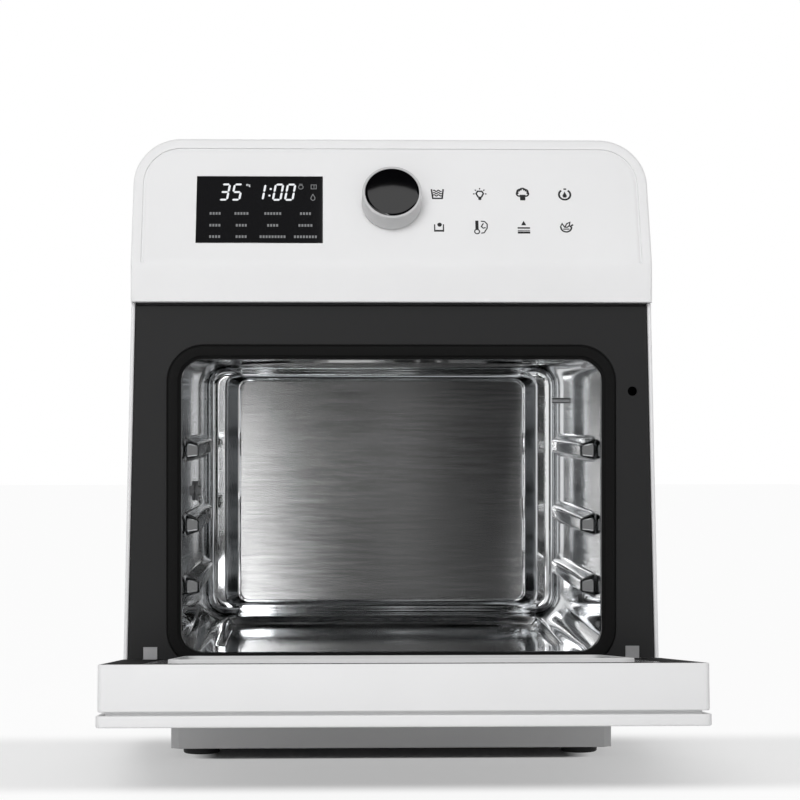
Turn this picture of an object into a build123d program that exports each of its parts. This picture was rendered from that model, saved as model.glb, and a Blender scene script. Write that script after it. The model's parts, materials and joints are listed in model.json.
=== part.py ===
from build123d import *
import math
import os

# Steam air-fry oven, millimetres. X to the right, Y to the back, Z up from the counter.
# Everything is drawn with the cabinet's front plane at Y = 0, and shifted at the end so that the
# origin lies under the middle of the whole object with its door open.

# Cabinet
body_width = 341.0
side_flare = 6.0
body_height = 409.0
body_depth = 380.0
corner_radius = 31.0
shell_wall = 1.2
hem_width = 2.6
hem_depth = 10.0
rear_flange = 12.0
cover_wall = 1.5
cover_recess = 1.0

# Running and seating gaps
seat_gap = 0.3
slide_gap = 0.5
turn_gap = 0.05

# Base
foot_height = 6.0
foot_radius = 12.0
foot_inset_x = 44.5
foot_inset_y = 30.0
plinth_height = 15.0
plinth_narrower = 51.5
plinth_depth = 366.0
plinth_wall = 3.0
plinth_floor = 2.0
plinth_setback = 2.0
base_pan_wall = 1.2
drain_length = 120.0
drain_width = 8.0
drain_behind_frame = 12.0

# Drip tray
tray_front_thickness = 6.0
tray_bevel = 5.0
tray_length = 175.0
tray_wall = 1.6
tray_side_margin = 10.0

# Front frame
frame_recess = 0.8
frame_wall = 2.0
frame_flange = 20.0
frame_shadow = 1.5
sensor_hole_radius = 3.1
sensor_from_side = 12.3
sensor_below_mouth = 20.5

# Control fascia
fascia_height = 110.7
fascia_proud = 6.0
strip_height = 25.7
panel_tilt = 25.0
fascia_wall = 3.0
fascia_rim = 14.0
fascia_tongue = 8.0
groove_inset = 5.2
groove_width = 1.6
groove_depth = 0.8

# Display, touch board and knob, placed on the slope from its bend
display_width = 83.4
display_height = 50.6
display_from_side = 83.5
display_up = 39.9
window_wall = 2.0
window_ledge = 2.0
module_margin = 3.0
board_narrower = 51.0
board_height = 74.0
board_wall = 1.6
board_up = 44.0
board_drop = 6.0
board_post_radius = 3.5
board_screw_radius = 1.25
knob_up = 43.9
knob_x = 0.0
knob_radius = 19.75
knob_height = 15.0
knob_lift = 1.6
cap_radius = 17.75
cap_depth = 3.0
cap_proud = 0.4
press_travel = 1.0
shaft_radius = 3.0
bush_wall = 0.4
encoder_width = 13.0

# Cavity
cavity_narrower = 66.0
cavity_bottom = 69.4
cavity_below_fascia = 37.4
cavity_depth = 277.0
cavity_corner = 14.5
side_draft = 5.0
floor_rise = 3.0
liner_wall = 1.0
liner_flange = 14.0
rib_shares = (0.21723, 0.43133, 0.69243)
rib_length = 225.0
rib_height = 17.0
rib_tip_height = 9.0
rib_tip_taper = 10.0
rib_reach = 10.0
rib_wall = 1.2
floor_pan_narrower = 53.0
floor_pan_length = 222.0
floor_pan_depth = 2.5
floor_pan_slope = 6.0
floor_pan_corner = 24.0
gasket_width = 9.4
gasket_round = 1.4
back_panel_narrower = 35.0
back_panel_shorter = 9.5
back_panel_bevel = 11.0
back_panel_depth = 8.0
back_panel_wall = 0.8
back_panel_corner = 12.0

# Heater, fans and motor over the ceiling
fan_y = 141.0
heater_opening_radius = 95.0
housing_radius = 100.0
housing_height = 40.0
housing_wall = 1.0
housing_flange = 9.0
heater_ring_radius = 82.0
heater_tube_radius = 3.25
heater_drop = 21.0
heater_gap_angle = 24.0
heater_terminal = 14.0
guard_radius = 103.0
guard_wall = 1.0
guard_slot_width = 5.0
guard_rings = ((30.0, 12), (46.0, 18), (62.0, 24), (78.0, 30))
guard_slot_length = 11.0
hot_fan_radius = 58.0
hot_fan_blade = 16.0
hot_fan_blades = 8
cool_fan_radius = 48.0
cool_fan_height = 11.0
cool_fan_blades = 7
fan_hub_radius = 9.0
fan_wall = 1.2
rotor_shaft_radius = 3.0
bracket_lift = 20.0
bracket_radius = 60.0
bracket_post_radius = 4.0
motor_radius = 32.0
motor_height = 30.0

# Cavity lamp
lamp_from_wall = 34.5
lamp_y = 42.0
lamp_radius = 14.0
lens_wall = 2.0
lamp_height = 30.0
bulb_radius = 6.0

# Steam system
nozzle_y = 132.0
nozzle_above_rib = 19.0
nozzle_radius = 3.5
nozzle_flange_radius = 7.0
hose_radius = 4.0
hose_bore = 2.5
hose_bend = 17.0
steam_level_share = 0.6148
steam_bend_share = 0.3467
tank_width = 180.0
tank_depth = 58.0
tank_height = 187.0
tank_wall = 2.2
tank_outlet_radius = 4.5
tank_x = -30.0
tank_y = 332.0
lid_wall = 3.0
lid_plug_depth = 12.0
grip_length = 70.0
grip_width = 34.0
grip_bar = 9.0
cradle_wall = 2.0
outlet_x = 40.0
pump_x = 106.0
pump_y = 328.0
pump_width = 32.0
pump_height = 60.0
boiler_x = -15.0
boiler_width = 110.0
boiler_depth = 40.0
boiler_height = 70.0
boiler_leg = 10.0
boiler_leg_radius = 4.0

# Other inner pieces
insulation_side = 9.7
insulation_start = 18.0
support_width = 180.0
support_y = 250.0
support_depth = 22.0
support_wall = 1.5
probe_y = 230.0
probe_above_rib = 33.0
probe_radius = 2.0
probe_reach = 7.0
power_board_width = 82.0
power_board_height = 100.0
power_board_from_side = 51.5
power_board_z = 160.0
power_board_standoff = 8.3
gland_from_side = 30.5
gland_z = 60.0
gland_radius = 8.0
gland_bore = 3.6
gland_flange = 3.0
gland_nose = 13.0
vent_slot_width = 36.0
vent_slot_height = 4.0
vent_pitch = 10.0
vent_rows = 9
vent_columns = (-120.0, -72.0, -24.0, 24.0)
vent_bottom = 118.0
screw_head_radius = 3.6
screw_head = 2.0
screw_radius = 1.75

# Door
door_gap = 1.5
door_top_gap = 1.3
hinge_z = 58.0
hinge_above_edge = 3.0
hinge_inset = 8.0
door_open_angle = 85.0
door_block = 26.4
door_groove = 2.0
door_groove_inset = 4.0
door_outer_wall = 6.6
door_outer_overhang = 1.0
door_rim = 1.0
door_inner_wall = 1.4
door_corner = 3.0
window_narrower = 105.0
window_above_edge = 35.0
window_below_top = 57.0
window_corner = 10.0
glass_wall = 3.0
glass_margin = 7.0
glass_frame_wider = 60.0
glass_frame_taller = 56.0
grip_slot_width = 130.0
grip_slot_height = 16.0
grip_slot_below_top = 21.0
grip_slot_floor = 12.0
hinge_from_side = 12.5
ear_wall = 3.0
ear_radius = 6.0
ear_neck = 8.0
cheek_wall = 2.4
cheek_gap = 0.3
pin_radius = 2.0
pin_gap = 0.06
hinge_plate_width = 9.0
hinge_plate_height = 24.0
hinge_plate_wall = 1.0
notch_reach = 9.0

# Heights, depths and planes that follow from the sizes above
base_z = foot_height + plinth_height
foot_spacing_x = body_width - 2 * foot_inset_x
plinth_width = body_width - plinth_narrower
sensor_x = body_width / 2 - sensor_from_side
display_x = display_from_side - body_width / 2
board_width = body_width - board_narrower
cavity_width = body_width - cavity_narrower
floor_pan_width = cavity_width - floor_pan_narrower
back_panel_width = cavity_width - back_panel_narrower
power_board_x = body_width / 2 - power_board_from_side
gland_x = body_width / 2 - gland_from_side
lamp_x = cavity_width / 2 - lamp_from_wall
window_width = body_width - window_narrower
glass_frame_width = window_width + glass_frame_wider
hinge_x = body_width / 2 - hinge_from_side
fascia_bottom = body_height - fascia_height
frame_back = frame_recess + frame_wall
bend_z = fascia_bottom + strip_height
slope_run = (body_height - bend_z) * math.tan(math.radians(panel_tilt))
floor_z = cavity_bottom
cavity_top = fascia_bottom - cavity_below_fascia
cavity_height = cavity_top - cavity_bottom
cavity_middle_z = cavity_bottom + cavity_height / 2
rib_heights = [cavity_bottom + share * cavity_height for share in rib_shares]
nozzle_z = rib_heights[1] + nozzle_above_rib
probe_z = rib_heights[2] + probe_above_rib
sensor_z = cavity_top - sensor_below_mouth
back_panel_height = cavity_height - back_panel_shorter
tank_bottom = body_height - tank_height
cavity_back = frame_back + cavity_depth
ceiling_z = cavity_top + liner_wall
housing_top = ceiling_z + housing_height
hinge_y = -(door_gap + hinge_inset)
door_bottom = hinge_z - hinge_above_edge
door_top = fascia_bottom - door_top_gap
window_height = door_top - door_bottom - window_above_edge - window_below_top
window_z = door_bottom + window_above_edge + window_height / 2
glass_frame_height = window_height + glass_frame_taller
grip_slot_z = door_top - grip_slot_below_top
pan_top = base_z + base_pan_wall
cover_front = body_depth - cover_recess - cover_wall
flange_back = cover_front - seat_gap / 2
panel_plane = Plane(
    origin=(0, -fascia_proud, bend_z),
    x_dir=(1, 0, 0),
    z_dir=(0, -math.cos(math.radians(panel_tilt)), math.sin(math.radians(panel_tilt))),
)
hinge_axis = Axis((0, hinge_y, hinge_z), (1, 0, 0))


def box(x0, x1, y0, y1, z0, z1):
    """A block between two corners."""
    centre = Pos((x0 + x1) / 2, (y0 + y1) / 2, (z0 + z1) / 2)
    return centre * Box(x1 - x0, y1 - y0, z1 - z0)


def upright(radius, x, y, z0, z1):
    """A cylinder along Z."""
    return Pos(x, y, (z0 + z1) / 2) * Cylinder(radius, z1 - z0)


def along_y(radius, x, z, y0, y1):
    """A cylinder along Y."""
    return Pos(x, (y0 + y1) / 2, z) * Rot(90, 0, 0) * Cylinder(radius, y1 - y0)


def along_x(radius, y, z, x0, x1):
    """A cylinder along X."""
    return Pos((x0 + x1) / 2, y, z) * Rot(0, 90, 0) * Cylinder(radius, x1 - x0)


def rounded_y(width, height, radius, y0, y1, x=0.0, z=0.0):
    """A rounded rectangle seen from the front, carried from y0 back to y1."""
    sketch = Plane.XZ.offset(-y1) * Pos(x, z) * RectangleRounded(width, height, radius)
    return extrude(sketch, y1 - y0)


def rounded_z(width, depth, radius, z0, z1, x=0.0, y=0.0):
    """A rounded rectangle seen from above, carried from z0 up to z1."""
    sketch = Plane.XY.offset(z0) * Pos(x, y) * RectangleRounded(width, depth, radius)
    return extrude(sketch, z1 - z0)


def side_profile(points, half_width=body_width):
    """A prism along X over an outline given as (y, z) points."""
    outline = make_face(Polyline(*points, close=True))
    return extrude(Plane.YZ * outline, half_width, both=True)


def half_width_at(z):
    """Half the cabinet's width at height z: upright at the fascia, flaring out below it."""
    drop = max(0.0, fascia_bottom - z)
    return body_width / 2 + side_flare * drop / (fascia_bottom - base_z)


def body_prism(inset, low, y0, y1):
    """The cabinet's front outline from the height low up, moved inwards by inset, from y0 to y1."""
    top = body_height - inset
    half_top = body_width / 2 - inset
    half_low = half_width_at(low) - inset
    points = [(half_low, low)]
    if low < fascia_bottom:
        points.append((half_top, fascia_bottom))
    points.append((half_top, top))
    points += [(-x, z) for x, z in reversed(points)]
    face = make_face(Polyline(*points, close=True))
    corners = [v for v in face.vertices() if abs(v.Y - top) < 0.001]
    face = fillet(corners, corner_radius - inset)
    return extrude(Plane.XZ.offset(-y1) * face, y1 - y0)


def side_trapezoid(inset, low, high, y0, y1, corner=0.0):
    """A front outline between two heights that follows the cabinet's flaring sides."""
    half_low = half_width_at(low) - inset
    half_high = half_width_at(high) - inset
    points = [(half_low, low), (half_high, high), (-half_high, high), (-half_low, low)]
    face = make_face(Polyline(*points, close=True))
    if corner > 0:
        face = fillet(face.vertices(), corner)
    return extrude(Plane.XZ.offset(-y1) * face, y1 - y0)


def on_panel(x, up, out):
    """A place on the sloping panel: across, up the slope, and out of its face."""
    return panel_plane.location * Pos(x, up, out)


def slope_band(front, back, low=fascia_bottom, top=body_height):
    """The space between the fascia's front face and its back, each moved back by an amount along Y."""
    face_y = -fascia_proud
    points = [
        (face_y + front, low),
        (face_y + front, bend_z),
        (face_y + front + slope_run, top),
        (face_y + back + slope_run, top),
        (face_y + back, bend_z),
        (face_y + back, low),
    ]
    return side_profile(points)


def ring_of(shape, count, centre_x, centre_y):
    """Copies of a shape turned evenly about an upright axis."""
    axis = Axis((centre_x, centre_y, 0), (0, 0, 1))
    return [shape.rotate(axis, 360 * i / count) for i in range(count)]


def tube_along(points, radius, bore, bend):
    """A hose: straight runs joined by tangent arcs, with a round bore."""
    path = FilletPolyline(*points, radius=bend)
    start = Plane(origin=path @ 0, z_dir=path % 0)
    section = start * (Circle(radius) - Circle(bore))
    return sweep(section, path=path)


# Cabinet pieces


def make_outer_shell():
    """Painted wrapper: sides and top in one sheet, hemmed at the front, flanged at the rear."""
    front_edge = fascia_rim - fascia_proud + seat_gap
    skin = body_prism(0, base_z, 0, body_depth) - body_prism(shell_wall, base_z - 1, -1, body_depth + 1)
    envelope = side_profile([
        (0, base_z),
        (0, fascia_bottom - seat_gap),
        (front_edge, fascia_bottom - seat_gap),
        (front_edge, bend_z),
        (front_edge + slope_run, body_height),
        (body_depth, body_height),
        (body_depth, base_z),
    ])
    hem_top = fascia_bottom - seat_gap
    hem = side_trapezoid(0, base_z, hem_top, 0, hem_depth)
    hem -= side_trapezoid(hem_width, base_z - 1, hem_top + 1, -1, hem_depth + 1)
    flange = body_prism(shell_wall / 2, base_z, flange_back - shell_wall, flange_back)
    flange -= body_prism(rear_flange, base_z - 1, 0, body_depth)
    shell = (skin & envelope) + hem + flange
    opening = rounded_z(tank_width + 2 * slide_gap, tank_depth + 2 * slide_gap, 4, body_height - 5,
                        body_height + 5, tank_x, tank_y)
    return shell - opening - rear_screw_holes(screw_radius)


def rear_screw_places():
    """The rear screws' places, round the cover's edge, as (x, z)."""
    inset = (shell_wall + rear_flange) / 2 + 0.4
    low = base_z + 25
    middle = (base_z + body_height) / 2
    high = body_height - corner_radius - 8
    places = [(side * (half_width_at(z) - inset), z) for z in (low, middle, high) for side in (-1, 1)]
    return places + [(side * body_width / 4, body_height - inset) for side in (-1, 1)]


def rear_screw_holes(radius):
    """Drills for the rear screws."""
    return [along_y(radius, x, z, flange_back - 5, body_depth + 1) for x, z in rear_screw_places()]


def make_rear_cover():
    """Sheet cover on the shell's rear flange, with vent slots, a cord hole and board bosses."""
    y1 = cover_front + cover_wall
    cover = body_prism(shell_wall + seat_gap, base_z + seat_gap, cover_front, y1)
    for column in vent_columns:
        for row in range(vent_rows):
            z = vent_bottom + row * vent_pitch
            slot = rounded_y(vent_slot_width, vent_slot_height, vent_slot_height / 2 - 0.1,
                             cover_front - 1, y1 + 1, column, z)
            cover -= slot
    for x, z in power_board_corners():
        cover += along_y(board_post_radius, x, z, cover_front - power_board_standoff, cover_front + 0.5)
    cover -= along_y(gland_radius, gland_x, gland_z, cover_front - 1, y1 + 1)
    return cover - rear_screw_holes(screw_radius)


def make_rear_screws():
    """Pan-head screws that hold the rear cover."""
    head_y = cover_front + cover_wall
    screws = []
    for x, z in rear_screw_places():
        head = along_y(screw_head_radius, x, z, head_y, head_y + screw_head)
        head -= box(x - 2.4, x + 2.4, head_y + screw_head - 0.8, head_y + screw_head + 1, z - 0.5, z + 0.5)
        head -= box(x - 0.5, x + 0.5, head_y + screw_head - 0.8, head_y + screw_head + 1, z - 2.4, z + 2.4)
        screws.append(head + along_y(screw_radius, x, z, flange_back - 4, head_y + 0.1))
    return Compound(children=screws)


def make_base_pan():
    """Sheet floor of the cabinet with upturned sides and a drain slot over the drip tray."""
    half = half_width_at(base_z) - shell_wall - seat_gap
    y0, y1 = hem_depth + seat_gap, flange_back - shell_wall - seat_gap
    pan = box(-half, half, y0, y1, base_z, pan_top)
    flange_half = half_width_at(base_z + 12) - shell_wall - seat_gap
    for side in (-1, 1):
        x = side * (flange_half - base_pan_wall / 2)
        pan += box(x - base_pan_wall / 2, x + base_pan_wall / 2, y0, y1, base_z, base_z + 12)
    drain_y = frame_back + frame_flange + drain_behind_frame
    drain = rounded_z(drain_length, drain_width, drain_width / 2 - 0.1, base_z - 1, pan_top + 1, 0, drain_y)
    return pan - drain


def make_plinth():
    """Moulded plinth: a floor and three walls that guide the drip tray."""
    half = plinth_width / 2
    y0 = plinth_setback + tray_front_thickness + seat_gap
    y1 = plinth_setback + plinth_depth
    z0 = foot_height
    body = box(-half, half, y0, y1, z0, base_z)
    pocket_half = half - plinth_wall
    pocket = box(-pocket_half, pocket_half, y0 - 1, y1 - plinth_wall, z0 + plinth_floor, base_z + 1)
    body -= pocket
    tray_half = plinth_width / 2 - tray_side_margin
    for side in (-1, 1):
        inner = side * (tray_half + slide_gap)
        outer = side * (pocket_half + 0.5)
        body += box(min(inner, outer), max(inner, outer), y0, y0 + tray_length, z0 + 0.5, base_z)
    body += box(-tray_half, tray_half, y0 + tray_length, y0 + tray_length + plinth_wall, z0 + 0.5, base_z)
    return body


def make_feet():
    """Four rubber feet under the plinth."""
    feet = []
    for side in (-1, 1):
        for y in (plinth_setback + foot_inset_y, plinth_setback + plinth_depth - foot_inset_y):
            foot = upright(foot_radius, side * foot_spacing_x / 2, y, 0, foot_height)
            feet.append(fillet(foot.edges().group_by(Axis.Z)[0], 1.2))
    return Compound(children=feet)


def make_drip_tray():
    """Pull-out tray: a full-width front with bevelled ends and a shallow pan behind it."""
    z0, z1 = foot_height + seat_gap, base_z - seat_gap
    half = plinth_width / 2
    y0 = plinth_setback
    y1 = y0 + tray_front_thickness
    outline = [(-half + tray_bevel, y0), (half - tray_bevel, y0), (half, y0 + tray_bevel), (half, y1),
               (-half, y1), (-half, y0 + tray_bevel)]
    front = extrude(Plane.XY.offset(z0) * make_face(Polyline(*outline, close=True)), z1 - z0)
    tray_half = half - tray_side_margin
    pan_z0 = foot_height + plinth_floor + seat_gap
    pan_z1 = base_z - 2 * slide_gap
    y2 = y1 + tray_length - slide_gap
    pan = box(-tray_half, tray_half, y1 - 0.5, y2, pan_z0, pan_z1)
    pan -= box(-tray_half + tray_wall, tray_half - tray_wall, y1 + tray_wall, y2 - tray_wall,
               pan_z0 + tray_wall, pan_z1 + 1)
    return front + pan


# Front frame, fascia and controls


def make_front_frame():
    """Dark frame round the cavity mouth, with a top and a bottom flange and the hinge slots."""
    low, flange_top = pan_top + seat_gap, fascia_bottom - seat_gap
    high = flange_top - frame_shadow
    inset = hem_width + seat_gap
    plate = side_trapezoid(inset, low, high, frame_recess, frame_back)
    half_top = half_width_at(high) - inset
    half_low = half_width_at(low) - inset - base_pan_wall
    flange_y = frame_back + frame_flange
    step_y = frame_back - frame_wall / 2
    plate += box(-half_top, half_top, step_y, frame_back, high - 1, flange_top)
    plate += box(-half_top, half_top, step_y, flange_y, flange_top - shell_wall, flange_top)
    plate += box(-half_low, half_low, frame_recess, flange_y, low, low + shell_wall)
    mouth = rounded_y(cavity_width + 2 * gasket_width + 2 * seat_gap, cavity_height + 2 * gasket_width
                      + 2 * seat_gap, cavity_corner + gasket_width, -1, frame_back + 1, 0, cavity_middle_z)
    plate -= mouth
    plate -= along_y(sensor_hole_radius, sensor_x, sensor_z, -1, frame_back + 1)
    for side in (-1, 1):
        x = side * hinge_x
        plate -= box(x - ear_wall / 2 - seat_gap, x + ear_wall / 2 + seat_gap, -1, frame_back + 1,
                     hinge_z - ear_neck / 2 - 1, hinge_z + ear_neck / 2 + 1)
    return plate


def make_control_fascia():
    """White moulding: upright strip, sloping panel with an engraved line, rim, tongue and posts."""
    body = body_prism(0, fascia_bottom, -20, body_depth) & slope_band(0, fascia_rim)
    inside_low = fascia_bottom + fascia_wall
    wall_y = fascia_wall / math.cos(math.radians(panel_tilt))
    inside = body_prism(fascia_wall, inside_low, -20, body_depth) & slope_band(wall_y, fascia_rim + 5)
    tongue = body_prism(shell_wall + seat_gap, inside_low - 1, -20, body_depth)
    tongue &= slope_band(fascia_rim - 2, fascia_rim + fascia_tongue)
    tongue -= body_prism(fascia_wall, inside_low, -20, body_depth)
    fascia = body + tongue - inside
    line = body_prism(groove_inset, fascia_bottom, -20, body_depth)
    line -= body_prism(groove_inset + groove_width, fascia_bottom - 1, -21, body_depth + 1)
    line &= slope_band(-1, groove_depth)
    line -= box(-body_width, body_width, -50, body_depth, 0, bend_z)
    fascia -= line
    pocket = on_panel(display_x, display_up, 0) * Box(
        display_width, display_height, 2 * window_wall)
    opening = on_panel(display_x, display_up, 0) * Box(
        display_width - 2 * window_ledge, display_height - 2 * window_ledge, 4 * fascia_wall)
    fascia = fascia - pocket - opening
    for x, up in board_posts():
        fascia += on_panel(x, up, -fascia_wall - board_drop / 2 + 0.1) * Cylinder(
            board_post_radius, board_drop + 0.2)
        fascia -= on_panel(x, up, -fascia_wall - board_drop / 2 - 1) * Cylinder(
            board_screw_radius, board_drop)
    return fascia - on_panel(knob_x, knob_up, 0) * Cylinder(shaft_radius + bush_wall + 0.2, 4 * fascia_wall)


def board_posts():
    """The places of the posts that hold the display board, across and up the slope."""
    across = board_width / 2 - 6
    up = board_height / 2 - 6
    return [(i * across, board_up + j * up) for i in (-1, 1) for j in (-1, 1)]


def make_display_window():
    """Black glass flush with the panel."""
    glass = on_panel(display_x, display_up, -window_wall / 2) * Box(
        display_width - 2 * turn_gap, display_height - 2 * turn_gap, window_wall)
    return glass


def make_display_module():
    """Lit segment block between the window and the board."""
    thickness = fascia_wall + board_drop - window_wall
    return on_panel(display_x, display_up, -window_wall - thickness / 2) * Box(
        display_width - 2 * module_margin, display_height - 2 * module_margin, thickness)


def make_display_board():
    """Circuit board behind the panel, with the touch pads and the encoder."""
    out = -fascia_wall - board_drop - board_wall / 2
    board = on_panel(0, board_up, out) * Box(board_width, board_height, board_wall)
    for x, up in board_posts():
        board -= on_panel(x, up, out) * Cylinder(board_screw_radius, 3 * board_wall)
    return board


def make_board_screws():
    """Small screws through the display board into the fascia's posts."""
    back = -fascia_wall - board_drop - board_wall
    screws = []
    for x, up in board_posts():
        head = on_panel(x, up, back - 0.8) * Cylinder(2.4, 1.6)
        head -= on_panel(x, up, back - 1.6) * Box(3.4, 0.6, 1.2)
        shank = on_panel(x, up, back + board_wall / 2 + 2) * Cylinder(board_screw_radius, board_wall + 4)
        screws.append(head + shank)
    return Compound(children=screws)


def make_encoder_body():
    """Rotary encoder on the board: a square body and a round bush through the panel."""
    board_face = -fascia_wall - board_drop
    body_top = -fascia_wall - 0.6
    body = on_panel(knob_x, knob_up, (board_face + body_top) / 2) * Box(
        encoder_width, encoder_width, body_top - board_face)
    bush = on_panel(knob_x, knob_up, (body_top - 0.5) / 2) * Cylinder(shaft_radius + bush_wall, -body_top - 0.5)
    chamber = on_panel(knob_x, knob_up, (board_face + 0.5 + body_top - 1.4) / 2) * Cylinder(
        shaft_radius + 0.6, body_top - 1.4 - board_face - 0.5)
    bore = on_panel(knob_x, knob_up, body_top) * Cylinder(shaft_radius + turn_gap, 12)
    bore &= on_panel(knob_x, knob_up, body_top + 10 - 1.5) * Box(20, 20, 20)
    return body + bush - chamber - bore


def encoder_levels():
    """Where the plunger and the shaft end lie, out of the panel's face."""
    plunger_low = -fascia_wall - board_drop + 0.5 + press_travel + 0.1
    plunger_high = plunger_low + 1.0
    shaft_low = plunger_high + turn_gap
    return plunger_low, plunger_high, shaft_low


def make_push_plunger():
    """Small disc in the encoder that the shaft pushes down."""
    low, high, _ = encoder_levels()
    return on_panel(knob_x, knob_up, (low + high) / 2) * Cylinder(shaft_radius - 0.2, high - low)


def make_encoder_shaft():
    """Turning and pressing shaft."""
    low = encoder_levels()[2]
    high = knob_lift + knob_height - cap_depth - 1
    return on_panel(knob_x, knob_up, (low + high) / 2) * Cylinder(shaft_radius, high - low)


def make_knob_body():
    """Pale knob with a rounded edge and a recess for its cap."""
    middle = knob_lift + knob_height / 2
    knob = on_panel(knob_x, knob_up, middle) * Cylinder(knob_radius, knob_height)
    rim = knob.edges().filter_by(GeomType.CIRCLE)
    knob = fillet(rim, 0.8)
    recess = on_panel(knob_x, knob_up, knob_lift + knob_height) * Cylinder(cap_radius, 2 * cap_depth)
    shaft_top = knob_lift + knob_height - cap_depth - 1
    bore = on_panel(knob_x, knob_up, shaft_top - 10) * Cylinder(shaft_radius, 20)
    skirt = on_panel(knob_x, knob_up, knob_lift) * (
        Cylinder(knob_radius - 2.5, 8) - Cylinder(shaft_radius + 3, 8))
    return knob - recess - bore - skirt


def make_knob_cap():
    """Glossy black disc in the knob's face."""
    low = knob_lift + knob_height - cap_depth
    high = knob_lift + knob_height + cap_proud
    cap = on_panel(knob_x, knob_up, (low + high) / 2) * Cylinder(cap_radius - turn_gap, high - low)
    edges = [e for e in cap.edges().filter_by(GeomType.CIRCLE)]
    top = max(edges, key=lambda e: (e.center() - panel_plane.origin).dot(panel_plane.z_dir))
    return fillet([top], 0.3)


# Cavity


def draft_at(y):
    """How far back a depth lies in the cavity, from 0 at its mouth to 1 at its back."""
    return (y - frame_back) / cavity_depth


def cavity_section(y, grow):
    """The cavity's section at depth y: narrower and shallower towards the back, grown by grow."""
    share = draft_at(y)
    width = cavity_width - 2 * side_draft * share + 2 * grow
    height = cavity_height - floor_rise * share + 2 * grow
    middle = cavity_top - (cavity_height - floor_rise * share) / 2
    return Plane.XZ.offset(-y) * Pos(0, middle) * RectangleRounded(width, height, cavity_corner + grow)


def wall_x(y):
    """The inner face of the cavity's right wall at depth y."""
    return cavity_width / 2 - side_draft * draft_at(y)


def rib_block(side, z, shrink, reach, outset):
    """One rack ledge: a block that narrows from the wall towards its tip."""
    middle = (frame_back + cavity_back) / 2
    tip = side * (cavity_width / 2 - reach)
    root = side * (cavity_width / 2 + outset)
    near = Plane.YZ.offset(root) * Pos(middle, z) * Rectangle(
        rib_length - 2 * shrink, rib_height - 2 * shrink)
    far = Plane.YZ.offset(tip) * Pos(middle, z) * Rectangle(
        rib_length - 2 * rib_tip_taper - 2 * shrink, rib_tip_height - 2 * shrink)
    return loft([near, far])


def floor_pan(grow):
    """The pressed pan in the floor, widening upwards."""
    middle = (frame_back + cavity_back) / 2
    low = floor_z - floor_pan_depth - grow
    high = floor_z + floor_rise + 1
    rise = (high - low) / (floor_pan_depth + floor_rise)
    bottom = Plane.XY.offset(low) * Pos(0, middle) * RectangleRounded(
        floor_pan_width + 2 * grow, floor_pan_length + 2 * grow, floor_pan_corner + grow)
    top = Plane.XY.offset(high) * Pos(0, middle) * RectangleRounded(
        floor_pan_width + 2 * grow + 2 * floor_pan_slope * rise,
        floor_pan_length + 2 * grow + 2 * floor_pan_slope * rise,
        floor_pan_corner + grow + floor_pan_slope * rise)
    return loft([bottom, top])


def make_cavity_liner():
    """Drawn steel box with a front flange, pressed rack ledges and a pressed floor."""
    outer = loft([cavity_section(frame_back, liner_wall), cavity_section(cavity_back + liner_wall, liner_wall)])
    inner = loft([cavity_section(frame_back, 0), cavity_section(cavity_back, 0)])
    flange = rounded_y(cavity_width + 2 * liner_flange, cavity_height + 2 * liner_flange,
                       cavity_corner + liner_flange, frame_back, frame_back + liner_wall, 0, cavity_middle_z)
    outer += flange
    outer += floor_pan(liner_wall) & box(-body_width, body_width, frame_back + 1, cavity_back, 0, cavity_middle_z)
    inner += floor_pan(0)
    for side in (-1, 1):
        for z in rib_heights:
            inner -= rib_block(side, z, 0, rib_reach, 0.5)
            outer -= rib_block(side, z, rib_wall, rib_reach - rib_wall, 3)
    liner = outer - inner
    liner -= upright(heater_opening_radius, 0, fan_y, cavity_top - 2, ceiling_z + 5)
    liner -= upright(lamp_radius - 3, lamp_x, lamp_y, cavity_top - 2, ceiling_z + 5)
    liner -= along_x(nozzle_radius + turn_gap, nozzle_y, nozzle_z, -cavity_width, -50)
    liner -= along_x(probe_radius + turn_gap, probe_y, probe_z, 50, cavity_width)
    return liner


def make_cavity_gasket():
    """Black seal round the cavity mouth, on the liner's flange."""
    front = -(door_gap - seat_gap)
    ring = rounded_y(cavity_width + 2 * gasket_width, cavity_height + 2 * gasket_width,
                     cavity_corner + gasket_width, front, frame_back, 0, cavity_middle_z)
    ring -= rounded_y(cavity_width + 1, cavity_height + 1, cavity_corner + 0.5, front - 1,
                      frame_back + 1, 0, cavity_middle_z)
    return fillet(ring.edges().group_by(Axis.Y)[0], gasket_round)


def make_back_panel():
    """Pressed brushed sheet in front of the cavity's back wall."""
    y0 = cavity_back - seat_gap
    middle = cavity_middle_z + floor_rise / 2
    faces = []
    for share in (0, 1):
        width = back_panel_width - 2 * back_panel_bevel * share
        height = back_panel_height - 2 * back_panel_bevel * share
        corner = back_panel_corner - 5 * share
        faces.append((y0 - share * back_panel_depth, width, height, corner))
    outer = loft([Plane.XZ.offset(-y) * Pos(0, middle) * RectangleRounded(w, h, r) for y, w, h, r in faces])
    wall = back_panel_wall
    inner = loft([
        Plane.XZ.offset(-y - back_offset) * Pos(0, middle)
        * RectangleRounded(w - 2 * wall, h - 2 * wall, r - wall)
        for back_offset, (y, w, h, r) in zip((0.01, wall), faces)
    ])
    return outer - inner


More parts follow.
